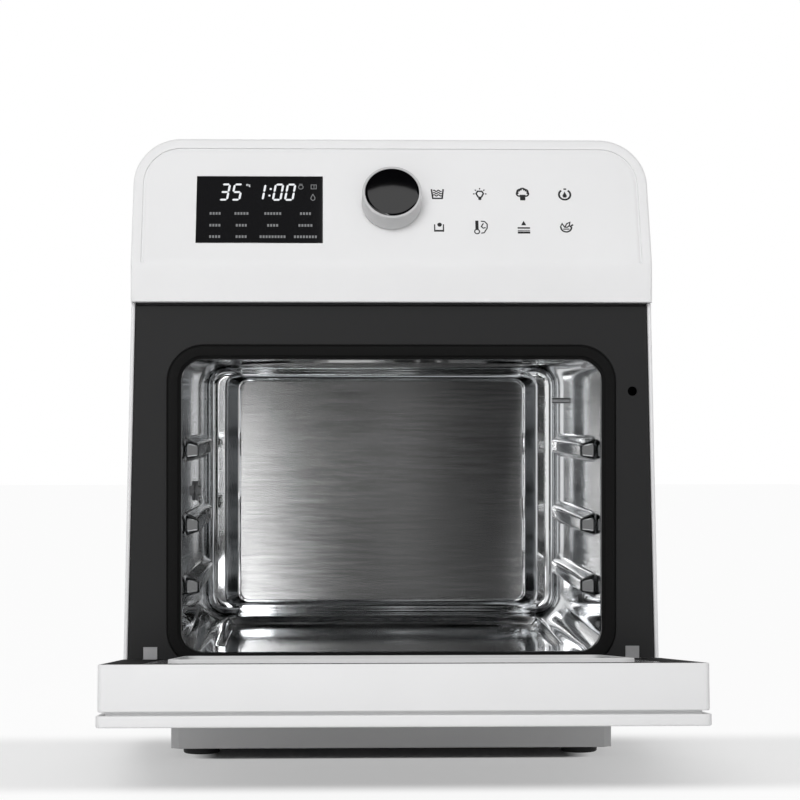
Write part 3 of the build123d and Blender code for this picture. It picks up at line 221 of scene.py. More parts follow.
def at_height(ring: Points, z: float) -> Points:
    """A ring seen from above (x, y) set at one height, as points (x, y, z)."""
    return np.column_stack([ring, np.full(len(ring), z)])


class Skin:
    """A mesh in the making: patches of points in millimetres, gathered and built as one piece."""

    def __init__(self) -> None:
        """Starts empty."""
        self.points: List[Points] = []
        self.faces: List[Tuple[Points, int]] = []
        self.count = 0

    def _add(self, points: Points) -> int:
        """Stores points.

        Args:
            points: The points, in an array of any shape whose last side is 3.

        Returns:
            The number of the first.
        """
        start = self.count
        self.points.append(np.asarray(points, float).reshape(-1, 3))
        self.count += len(self.points[-1])
        return start

    def patch(self, grid: Points, close_u: bool = False, close_v: bool = False, slot: int = 0) -> "Skin":
        """Adds a surface: a grid of points whose neighbours by four make a face.

        Args:
            grid: Points, as an array (u, v, 3).
            close_u: Whether the last row joins the first.
            close_v: Whether the last column joins the first.
            slot: Number of the piece's material.

        Returns:
            This skin.
        """
        rows, columns = grid.shape[:2]
        start = self._add(grid)
        index = start + np.arange(rows * columns).reshape(rows, columns)
        if close_u:
            index = np.concatenate([index, index[:1]], axis=0)
        if close_v:
            index = np.concatenate([index, index[:, :1]], axis=1)
        quads = np.stack([index[:-1, :-1], index[1:, :-1], index[1:, 1:], index[:-1, 1:]], axis=-1)
        self.faces.append((quads.reshape(-1, 4), slot))
        return self

    def lid(self, ring: Points, slot: int = 0) -> "Skin":
        """Closes a flat ring of points with one face.

        Args:
            ring: Points (x, y, z) in order round the opening.
            slot: Number of the piece's material.

        Returns:
            This skin.
        """
        start = self._add(ring)
        self.faces.append((start + np.arange(len(ring))[None, :], slot))
        return self

    def stations(self, rings: Sequence[Points]) -> "Skin":
        """Adds closed rings joined one after the other, with a lid at each end."""
        return self.patch(np.stack(rings), close_v=True).lid(rings[0]).lid(rings[-1])

    def loop(self, rings: Sequence[Points]) -> "Skin":
        """Adds closed rings joined one after the other, the last to the first."""
        return self.patch(np.stack(rings), close_u=True, close_v=True)

    def block(self, x0: float, x1: float, y0: float, y1: float, z0: float, z1: float) -> "Skin":
        """Adds a closed box, given by its two ends along X, Y and Z."""
        ring = np.array([(x0, y0), (x1, y0), (x1, y1), (x0, y1)], float)
        return self.stations([at_height(ring, z) for z in (z0, z1)])

    def moved(self, change: Callable[[Points], Points]) -> "Skin":
        """Passes every array of points through a function."""
        self.points = [change(points) for points in self.points]
        return self

    def mesh(self, name: str, sharp: Sharp = Sharp.FINE) -> Mesh:
        """Builds the mesh in metres, welds its seams, turns its faces outwards and marks its edges.

        Args:
            name: The mesh's name.
            sharp: Which edges stay crisp.

        Returns:
            The mesh.
        """
        points = (np.concatenate(self.points) + (0.0, FRONT_Y, 0.0)) * MM
        corners = np.concatenate([quads.ravel() for quads, _ in self.faces])
        sizes = np.concatenate([np.full(len(quads), quads.shape[1]) for quads, _ in self.faces])
        slots = np.concatenate([np.full(len(quads), slot) for quads, slot in self.faces])
        mesh = bpy.data.meshes.new(name)
        mesh.vertices.add(len(points))
        mesh.vertices.foreach_set("co", points.ravel())
        mesh.loops.add(len(corners))
        mesh.loops.foreach_set("vertex_index", corners.astype(np.int32))
        mesh.polygons.add(len(sizes))
        starts = np.concatenate([[0], np.cumsum(sizes)[:-1]]).astype(np.int32)
        mesh.polygons.foreach_set("loop_start", starts)
        mesh.polygons.foreach_set("material_index", slots.astype(np.int32))
        mesh.update(calc_edges=True)
        work = bmesh.new()
        work.from_mesh(mesh)
        bmesh.ops.remove_doubles(work, verts=work.verts, dist=WELD)
        bmesh.ops.dissolve_degenerate(work, edges=work.edges, dist=WELD / 2)
        bmesh.ops.recalc_face_normals(work, faces=work.faces)
        work.to_mesh(mesh)
        work.free()
        shade(mesh, sharp)
        return mesh

    def piece(self, name: str, finishes: Sequence[Material], sharp: Sharp = Sharp.FINE
              ) -> Object:
        """Builds the mesh as an object of the scene.

        Args:
            name: The piece's name.
            finishes: Its materials, by slot number.
            sharp: Which edges stay crisp.

        Returns:
            The object, at the origin.
        """
        thing = linked(name, self.mesh(name, sharp))
        for finish in finishes:
            thing.data.materials.append(finish)
        return thing


def linked(name: str, data: ID) -> Object:
    """Adds an object to the scene.

    Args:
        name: The object's name.
        data: What it shows.

    Returns:
        The object, at the origin.
    """
    thing = bpy.data.objects.new(name, data)
    bpy.context.scene.collection.objects.link(thing)
    return thing


def shade(mesh: Mesh, sharp: Sharp) -> None:
    """Shades a mesh smooth up to an angle.

    Args:
        mesh: The mesh.
        sharp: Which edges stay crisp.
    """
    mesh.polygons.foreach_set("use_smooth", np.ones(len(mesh.polygons), bool))
    mesh.set_sharp_from_angle(angle=math.radians(sharp.value))
    mesh.update()


def settled(thing: Object, sharp: Sharp = Sharp.FINE) -> Object:
    """Makes a piece's modifiers part of its mesh.

    Args:
        thing: The piece.
        sharp: Which edges stay crisp.

    Returns:
        The same piece.
    """
    seen = thing.evaluated_get(bpy.context.evaluated_depsgraph_get())
    mesh = bpy.data.meshes.new_from_object(seen)
    old = thing.data
    thing.modifiers.clear()
    thing.data = mesh
    bpy.data.meshes.remove(old)
    shade(mesh, sharp)
    return thing


def cut(thing: Object, tool: Skin, sharp: Sharp = Sharp.BODY) -> Object:
    """Takes closed blocks out of a closed piece.

    Args:
        thing: The piece.
        tool: The blocks, which don't touch each other.
        sharp: Which edges stay crisp.

    Returns:
        The same piece.
    """
    cutter = tool.piece(thing.name + "_tool", [])
    change = thing.modifiers.new("cut", "BOOLEAN")
    change.operation = "DIFFERENCE"
    change.solver = "EXACT"
    change.object = cutter
    settled(thing, sharp)
    bpy.data.objects.remove(cutter)
    return thing


def thickened(thing: Object, wall: float, side: float) -> Object:
    """Gives a sheet its wall.

    Args:
        thing: The sheet.
        wall: Thickness in millimetres.
        side: 1 to grow along the faces' normals, -1 to grow against them.

    Returns:
        The same piece.
    """
    change = thing.modifiers.new("wall", "SOLIDIFY")
    change.thickness = wall * MM
    change.offset = side
    change.use_even_offset = False
    return settled(thing)


def cylinder(radius: float, start: Sequence[float], end: Sequence[float], steps: int = 48) -> List[Points]:
    """The two end rings of a cylinder between two places: centre plus cosine and sine of the turn.

    Args:
        radius: Its radius.
        start: Centre of one end.
        end: Centre of the other end.
        steps: Points in each ring.

    Returns:
        The two rings.
    """
    a, b = np.array(start, float), np.array(end, float)
    axis = (b - a) / np.linalg.norm(b - a)
    aside = np.cross(axis, (0.0, 0.0, 1.0) if abs(axis[2]) < 0.9 else (1.0, 0.0, 0.0))
    aside /= np.linalg.norm(aside)
    turn = np.linspace(0, 2 * math.pi, steps, endpoint=False)[:, None]
    ring = radius * (np.cos(turn) * aside + np.sin(turn) * np.cross(axis, aside))
    return [a + ring, b + ring]


def plate_rings(outer: Callable[[float], Points], hole: Callable[[float], Points], y0: float, y1: float,
                radius: float) -> List[Points]:
    """Rings round the section of a flat plate with a hole, all edges rounded.

    Args:
        outer: Gives the outline moved inwards by an amount.
        hole: Gives the hole's outline moved outwards by an amount.
        y0: Depth of the front face.
        y1: Depth of the back face.
        radius: Radius of the edges.

    Returns:
        The rings, which close on themselves.
    """
    edge = fillet_steps(radius, 4)
    flat = radius + EDGE_BAND
    rows = [(outer, inset, y0 + drop) for inset, drop in edge] + [(outer, flat, y0), (hole, flat, y0)]
    rows += [(hole, inset, y0 + drop) for inset, drop in reversed(edge)]
    rows += [(hole, inset, y1 - drop) for inset, drop in edge] + [(hole, flat, y1), (outer, flat, y1)]
    rows += [(outer, inset, y1 - drop) for inset, drop in reversed(edge)]
    return depth_rings(rows)


# Shader helpers and shared effects


class Tree:
    """Short words for laying out the nodes of one node tree."""

    def __init__(self, tree: NodeTree) -> None:
        """Takes the node tree to lay out."""
        self.tree = tree

    def node(self, kind: str, settings: Optional[Dict[str, object]] = None, **inputs: object) -> Node:
        """Adds a node.

        Args:
            kind: The node's type name.
            settings: Properties of the node.
            **inputs: Values of its inputs, or sockets that feed them; underscores stand for spaces.

        Returns:
            The node.
        """
        made = self.tree.nodes.new(kind)
        for name, value in (settings or {}).items():
            setattr(made, name, value)
        self.give(made, **inputs)
        return made

    def give(self, node: Node, **inputs: object) -> None:
        """Feeds a node's inputs by name; underscores stand for spaces."""
        for name, value in inputs.items():
            self.feed(node.inputs[name.replace("_", " ")], value)

    def feed(self, socket: NodeSocket, value: object) -> None:
        """Links a socket into an input, or writes a value there.

        Args:
            socket: The input.
            value: A socket or a plain value.
        """
        if isinstance(value, NodeSocket):
            self.tree.links.new(value, socket)
        else:
            socket.default_value = value

    def math(self, operation: str, first: object, second: object = 0.0) -> NodeSocket:
        """Adds a Math node.

        Args:
            operation: What it works out.
            first: Its first value or the socket that feeds it.
            second: Its second.

        Returns:
            The result's socket.
        """
        made = self.node("ShaderNodeMath", {"operation": operation})
        for socket, value in zip(made.inputs, (first, second)):
            self.feed(socket, value)
        return made.outputs[0]

    def mix(self, share: object, first: object, second: object) -> NodeSocket:
        """Adds a colour Mix node.

        Args:
            share: How much of the second colour shows.
            first: The first colour.
            second: The second colour.

        Returns:
            The mixed colour's socket.
        """
        made = self.node("ShaderNodeMix", {"data_type": "RGBA"})
        for number, value in ((0, share), (6, first), (7, second)):
            self.feed(made.inputs[number], value)
        return made.outputs[2]

    def place(self) -> NodeSocket:
        """The object's own coordinates."""
        return self.node("ShaderNodeTexCoord").outputs["Object"]

    def noise(self, scale: object, detail: float, **more: object) -> NodeSocket:
        """Adds a noise over the object's own coordinates, or over a Vector among the other inputs."""
        inputs = {"Vector": more.pop("Vector", None) or self.place(), "Scale": scale, "Detail": detail}
        return self.node("ShaderNodeTexNoise", **inputs, **more).outputs[0]

    def group(self, effect: NodeTree, **inputs: object) -> Node:
        """Places a shared effect with values of its own."""
        return self.node("ShaderNodeGroup", {"node_tree": effect}, **inputs)

    def relief(self, height: NodeSocket) -> NodeSocket:
        """The normal that a height in metres gives."""
        return self.node("ShaderNodeBump", Strength=1.0, Distance=1.0, Height=height).outputs[0]

    def looked_at(self) -> NodeSocket:
        """Tells what looks at a place.

        Returns:
            The socket of a value that is 1 for the camera, gloss and glass, and 0 for anything else.
        """
        path = self.node("ShaderNodeLightPath").outputs
        seen = self.math("MAXIMUM", path["Is Camera Ray"], path["Is Glossy Ray"])
        return self.math("MAXIMUM", seen, path["Is Transmission Ray"])


def opaque(colour: Iterable[float]) -> Tuple[float, ...]:
    """A colour with its fourth value, 1."""
    return (*colour, 1.0)


def new_finish(name: str) -> Tuple[Material, Tree, Node]:
    """Starts a material.

    Args:
        name: Its name.

    Returns:
        The material, its node tree and its shader.
    """
    made = bpy.data.materials.new(name)
    made.use_nodes = True
    shader = next(node for node in made.node_tree.nodes if node.type == "BSDF_PRINCIPLED")
    return made, Tree(made.node_tree), shader


def new_group(name: str, inputs: Dict[str, object], *outputs: str) -> Tuple[Tree, NodeOutputs, Node]:
    """Starts a shader node group.

    Args:
        name: The group's name.
        inputs: Its inputs and their defaults, a number or a colour.
        *outputs: Its outputs; one named Color is a colour, any other a number.

    Returns:
        The group's tree, the sockets of its inputs and its output node.
    """
    group = bpy.data.node_groups.new(name, "ShaderNodeTree")
    for word, value in inputs.items():
        kind = "NodeSocketFloat" if isinstance(value, float) else "NodeSocketColor"
        group.interface.new_socket(word, in_out="INPUT", socket_type=kind).default_value = value
    for word in outputs:
        kind = "NodeSocketColor" if word == "Color" else "NodeSocketFloat"
        group.interface.new_socket(word, in_out="OUTPUT", socket_type=kind)
    given = group.nodes.new("NodeGroupInput").outputs
    return Tree(group), given, group.nodes.new("NodeGroupOutput")


class Effects:
    """The effects that several finishes share, each one shader node group."""

    def __init__(self) -> None:
        """Builds every effect once."""
        self.tone = self._tone()
        self.grain = self._grain()
        self.smudge = self._smudge()
        self.streaks = self._streaks()
        self.settled = self._settled()

    @staticmethod
    def _tone() -> NodeTree:
        """Two near colours mixed by soft clouds.

        Returns:
            The group.
        """
        tree, given, out = new_group("soft_tone", {"Scale": 14.0, "Light": opaque((1, 1, 1)),
                                                   "Dark": opaque((0, 0, 0))}, "Color")
        cloud = tree.noise(given["Scale"], 3.0)
        tree.give(out, Color=tree.mix(cloud, given["Dark"], given["Light"]))
        return tree.tree

    @staticmethod
    def _grain() -> NodeTree:
        """Fine moulded or sprayed grain: a coarse noise and half of a finer one added up.

        Returns:
            The group.
        """
        tree, given, out = new_group("fine_grain", {"Scale": 1500.0, "Depth": 0.00001}, "Height")
        coarse = tree.noise(given["Scale"], 1.0)
        fine = tree.noise(tree.math("MULTIPLY", given["Scale"], 2.7), 0.0)
        total = tree.math("ADD", coarse, tree.math("MULTIPLY", fine, 0.5))
        tree.give(out, Height=tree.math("MULTIPLY", total, given["Depth"]))
        return tree.tree

    @staticmethod
    def _smudge() -> NodeTree:
        """Roughness that drifts a little, as on a surface that is handled and wiped.

        Returns:
            The group.
        """
        tree, given, out = new_group("wiped_roughness", {"Base": 0.4, "Spread": 0.05, "Scale": 9.0},
                                     "Roughness")
        cloud = tree.noise(given["Scale"], 5.0, Roughness=0.65, Distortion=0.6)
        swing = tree.math("MULTIPLY", tree.math("SUBTRACT", cloud, 0.5), given["Spread"])
        tree.give(out, Roughness=tree.math("ADD", given["Base"], swing))
        return tree.tree

    @staticmethod
    def _streaks() -> NodeTree:
        """Brushed streaks along X: noise drawn out along X and packed close along Y and Z.

        Returns:
            The group, with fine streaks as its mask and wide ones as its bands.
        """
        tree, given, out = new_group("brushed_streaks", {"Length": 24.0, "Pitch": 1500.0}, "Mask", "Bands")
        parts = tree.node("ShaderNodeSeparateXYZ", Vector=tree.place())
        drawn = tree.math("MULTIPLY", parts.outputs["X"], given["Length"])
        close = [tree.math("MULTIPLY", parts.outputs[axis], given["Pitch"]) for axis in "YZ"]
        for output, pitch_share, detail in (("Mask", 1.0, 2.0), ("Bands", 0.36, 3.0)):
            y, z = (tree.math("MULTIPLY", value, pitch_share) for value in close)
            drawn_out = tree.node("ShaderNodeCombineXYZ", X=drawn, Y=y, Z=z).outputs[0]
            tree.feed(out.inputs[output], tree.noise(1.0, detail, Vector=drawn_out))
        return tree.tree

    @staticmethod
    def _settled() -> NodeTree:
        """A faint veil where a surface faces up, broken by noise.

        Returns:
            The group.
        """
        tree, given, out = new_group("settled_veil", {"Amount": 0.06, "Scale": 60.0}, "Mask")
        normal = tree.node("ShaderNodeNewGeometry").outputs["Normal"]
        up = tree.math("MAXIMUM", tree.node("ShaderNodeSeparateXYZ", Vector=normal).outputs["Z"], 0.0)
        veil = tree.math("MULTIPLY", tree.math("POWER", up, 3.0), tree.noise(given["Scale"], 6.0))
        tree.give(out, Mask=tree.math("MULTIPLY", veil, given["Amount"]))
        return tree.tree


EFFECTS = Effects()


@dataclass(frozen=True)
class Finish:
    """A plain finish: near colours in soft clouds, drifting roughness and a fine grain."""

    slot: str
    colour: Colour
    roughness: float = 0.4
    spread: float = 0.06
    grain_scale: float = 1500.0
    grain_depth: float = 0.000004
    tone_scale: float = 14.0
    tone_share: float = 0.94
    specular: float = 0.5
    coat: float = 0.0
    coat_roughness: float = 0.08
    veil: float = 0.05
    veil_share: float = 0.5
    veil_lift: float = 0.28

    def material(self) -> Material:
        """Builds the finish's material.

        Returns:
            The material, named after its slot.
        """
        made, tree, shader = new_finish("finish_" + self.slot)
        self.lay(tree, shader)
        return made

    def dark(self) -> Tuple[float, ...]:
        """The darker of the finish's two near colours."""
        return opaque(value * self.tone_share for value in self.colour)

    def tones(self, tree: Tree) -> NodeSocket:
        """The finish's clouded colour."""
        return tree.group(EFFECTS.tone, Scale=self.tone_scale, Light=opaque(self.colour),
                          Dark=self.dark()).outputs[0]

    def rough(self, tree: Tree) -> NodeSocket:
        """The drifting roughness."""
        return tree.group(EFFECTS.smudge, Base=self.roughness, Spread=self.spread).outputs[0]

    def grain(self, tree: Tree) -> NodeSocket:
        """The height of the fine grain, in metres."""
        return tree.group(EFFECTS.grain, Scale=self.grain_scale, Depth=self.grain_depth).outputs[0]

    def lay(self, tree: Tree, shader: Node) -> None:
        """Lays out the nodes that feed the shader.

        Args:
            tree: The material's node tree.
            shader: Its shader.
        """
        veil = tree.group(EFFECTS.settled, Amount=self.veil).outputs[0]
        pale = opaque(self.veil_share * value + self.veil_lift for value in self.colour)
        tree.give(shader, Base_Color=tree.mix(veil, self.tones(tree), pale), Roughness=self.rough(tree),
                  Specular_IOR_Level=self.specular, Normal=tree.relief(self.grain(tree)))
        if self.coat > 0:
            tree.give(shader, Coat_Weight=self.coat, Coat_Roughness=self.coat_roughness)


@dataclass(frozen=True)
class Moulded(Finish):
    """Moulded plastic with a close grain."""

    grain_scale: float = 2600.0
    grain_depth: float = 0.000006


@dataclass(frozen=True)
class SheetMetal(Finish):
    """Bare sheet: metal with soft clouds and a fine rolled grain."""

    metal: float = 1.0

    def lay(self, tree: Tree, shader: Node) -> None:
        """Lays out the nodes that feed the shader."""
        tree.give(shader, Metallic=self.metal, Base_Color=self.tones(tree), Roughness=self.rough(tree),
                  Normal=tree.relief(self.grain(tree)))


@dataclass(frozen=True)
class PolishedSteel(Finish):
    """Mirror-like drawn sheet that waves very slightly, with wiped patches."""

    wave_scale: float = 16.0
    wave_depth: float = 0.00014

    def lay(self, tree: Tree, shader: Node) -> None:
        """Lays out the nodes that feed the shader."""
        wave = tree.math("MULTIPLY", tree.noise(self.wave_scale, 0.0), self.wave_depth)
        tree.give(shader, Metallic=1.0, Base_Color=self.tones(tree), Roughness=self.rough(tree),
                  Normal=tree.relief(tree.math("ADD", wave, self.grain(tree))))


@dataclass(frozen=True)
class BrushedSteel(Finish):
    """Sheet brushed along X: streaks in colour, roughness and relief, with long highlights across them."""

    anisotropic: float = 0.95
    streak_depth: float = 0.000004

    def lay(self, tree: Tree, shader: Node) -> None:
        """Lays out the nodes that feed the shader.

        Args:
            tree: The material's node tree.
            shader: Its shader.
        """
        streaks = tree.group(EFFECTS.streaks).outputs
        swing = tree.math("MULTIPLY", tree.math("SUBTRACT", streaks["Bands"], 0.5), self.spread)
        lines = tree.math("ADD", streaks["Mask"], streaks["Bands"])
        tree.give(shader, Metallic=1.0, Anisotropic=self.anisotropic,
                  Tangent=tree.node("ShaderNodeCombineXYZ", Z=1.0).outputs[0],
                  Base_Color=tree.mix(streaks["Bands"], self.dark(), opaque(self.colour)),
                  Roughness=tree.math("ADD", self.roughness, swing),
                  Normal=tree.relief(tree.math("MULTIPLY", lines, self.streak_depth)))


@dataclass(frozen=True)
class ClearGlass(Finish):
    """Clear glass or plastic with faint wiping marks."""

    transmission: float = 1.0
    ior: float = 1.45

    def lay(self, tree: Tree, shader: Node) -> None:
        """Lays out the nodes that feed the shader."""
        tree.give(shader, Transmission_Weight=self.transmission, IOR=self.ior, Base_Color=self.tones(tree),
                  Roughness=self.rough(tree))


@dataclass(frozen=True)
class Fibre(Finish):
    """Pressed fibre mat: tangled fibres in colour and relief."""

    tangle_scale: float = 420.0
    tangle_depth: float = 0.0006

    def lay(self, tree: Tree, shader: Node) -> None:
        """Lays out the nodes that feed the shader."""
        tangle = tree.noise(self.tangle_scale, 8.0, Distortion=2.5)
        tree.give(shader, Base_Color=tree.mix(tangle, self.dark(), opaque(self.colour)),
                  Roughness=self.roughness,
                  Normal=tree.relief(tree.math("MULTIPLY", tangle, self.tangle_depth)))


@dataclass(frozen=True)
class Casting(Finish):
    """Rough die casting: pebbled metal."""

    pebble_scale: float = 700.0
    pebble_depth: float = 0.0001

    def lay(self, tree: Tree, shader: Node) -> None:
        """Lays out the nodes that feed the shader."""
        pebbles = tree.node("ShaderNodeTexVoronoi", Vector=tree.place(), Scale=self.pebble_scale).outputs
        tree.give(shader, Metallic=1.0, Base_Color=self.tones(tree), Roughness=self.rough(tree),
                  Normal=tree.relief(tree.math("MULTIPLY", pebbles["Distance"], self.pebble_depth)))


@dataclass(frozen=True)
class Lit(Finish):
    """A lit segment: even light with a faint fall-off by clouds."""

    glow: float = 0.9
    unlit: Colour = (0.02, 0.02, 0.02)

    def lay(self, tree: Tree, shader: Node) -> None:
        """Lays out the nodes that feed the shader."""
        tree.give(shader, Base_Color=opaque(self.unlit), Roughness=self.roughness,
                  Emission_Color=self.tones(tree), Emission_Strength=self.glow)


WHITE = (0.87, 0.87, 0.875)
FINISHES: Tuple[Finish, ...] = (
    Finish("shell_paint", WHITE, roughness=0.34, grain_scale=700.0, grain_depth=0.000008, veil=0.08),
    Moulded("fascia_white", WHITE, roughness=0.45, specular=0.4),
    Moulded("door_white", (0.80, 0.80, 0.805), roughness=0.42, specular=0.4),
    Moulded("lid_white", WHITE, roughness=0.42),
    Finish("cover_paint", (0.52, 0.53, 0.54), roughness=0.55, grain_scale=1100.0, grain_depth=0.00003),
    SheetMetal("zinc_steel", (0.62, 0.62, 0.63), metal=0.6, roughness=0.33, tone_scale=160.0, tone_share=0.8,
               grain_scale=2200.0, grain_depth=0.000003),
    Finish("plinth_grey", (0.16, 0.16, 0.165), roughness=0.55, grain_depth=0.00001),
    Finish("foot_rubber", (0.018, 0.018, 0.018), roughness=0.7, grain_depth=0.00003),
    Moulded("tray_grey", (0.74, 0.74, 0.745), roughness=0.42),
    Finish("frame_dark", (0.025, 0.025, 0.0255), roughness=0.5, grain_scale=900.0, grain_depth=0.00001,
           specular=0.2, veil=0.0),
    Finish("black_glass", (0.011, 0.011, 0.012), roughness=0.06, spread=0.03, grain_depth=0.0, coat=0.5,
           veil=0.01),
    Finish("module_black", (0.015, 0.015, 0.016), roughness=0.25),
    Finish("board_green", (0.015, 0.14, 0.07), roughness=0.45, tone_scale=300.0, tone_share=0.7),
    Finish("inner_plastic", (0.014, 0.014, 0.015), roughness=0.5, grain_depth=0.00001),
    Moulded("knob_pale", (0.58, 0.58, 0.585), roughness=0.32, grain_depth=0.000003),
    Finish("cap_black", (0.0015, 0.0015, 0.002), roughness=0.05, spread=0.02, grain_depth=0.0, coat=0.6,
           veil=0.0),
    PolishedSteel("liner_steel", (0.78, 0.79, 0.80), roughness=0.07, spread=0.05, tone_share=0.97,
                  grain_scale=1800.0, grain_depth=0.0000008),
    Finish("seal_black", (0.008, 0.008, 0.008), roughness=0.6, grain_depth=0.00001, specular=0.12, veil=0.0),
    BrushedSteel("brushed_panel", (0.61, 0.61, 0.61), roughness=0.22, spread=0.05, tone_share=0.58),
    Fibre("fibre_wrap", (0.72, 0.69, 0.62), roughness=0.95, tone_share=0.7),
    SheetMetal("heater_sheath", (0.14, 0.12, 0.11), roughness=0.5, tone_scale=50.0, tone_share=0.6),
    Finish("motor_paint", (0.18, 0.18, 0.19), roughness=0.5, grain_depth=0.00002),
    Finish("lamp_ceramic", (0.80, 0.78, 0.73), roughness=0.3, grain_depth=0.00001),
    ClearGlass("clear_glass", (0.93, 0.96, 0.95), roughness=0.02, spread=0.02),
    ClearGlass("tank_clear", (0.72, 0.76, 0.78), roughness=0.12, spread=0.06, transmission=0.85),
    Finish("hose_silicone", (0.62, 0.62, 0.58), roughness=0.4),
    Casting("cast_aluminium", (0.62, 0.62, 0.63), roughness=0.5, tone_scale=90.0, tone_share=0.85),
    Finish("door_black", (0.008, 0.008, 0.008), roughness=0.7, grain_depth=0.000008, specular=0.05,
           veil=0.0),
    SheetMetal("frame_steel", (0.80, 0.80, 0.81), roughness=0.22, grain_depth=0.000002),
    Finish("magnet_grey", (0.10, 0.10, 0.105), roughness=0.6, tone_scale=120.0, tone_share=0.7),
)
EXTRA_FINISHES: Tuple[Finish, ...] = (
    Lit("lit_digits", (0.95, 0.97, 1.0), glow=0.95),
    Lit("lit_labels", (0.80, 0.82, 0.84), glow=0.25),
    Finish("print_ink", (0.016, 0.016, 0.017), roughness=0.5, veil=0.0),
    # Painted shade: near-black with no gloss, standing in for the shade inside the frame's sensor hole,
    # where the door sensor sits.
    Finish("painted_hole_shade", (0.001, 0.001, 0.001), roughness=0.8, grain_depth=0.0, specular=0.0, veil=0.0),
)
MATERIALS: Dict[str, Material] = {finish.slot: finish.material()
                                  for finish in FINISHES + EXTRA_FINISHES}


def stand_for(thing: Object, body: Body, slot: str, *nodes: str) -> Object:
    """Lets a piece ride on a body and hides the nodes that it stands for.

    Args:
        thing: The piece.
        body: The body it rides on.
        slot: The record's material slot; not used.
        *nodes: The nodes it replaces.

    Returns:
        The same piece.
    """
    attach(thing, body.value)
    if nodes:
        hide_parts(*nodes)
    log.info("%s rides on %s, %d faces", thing.name, body.value, len(thing.data.polygons))
    return thing


def show(skin: Skin, name: str, body: Body, slot: str, *nodes: str, finish: Optional[str] = None,
         sharp: Sharp = Sharp.BODY) -> None:
    """Builds a piece and lets it stand for its nodes, in its slot's finish or in one of its own."""
    stand_for(skin.piece(name, [MATERIALS[finish or slot]], sharp), body, slot, *nodes)


# Cabinet: wrapper, fascia and front frame


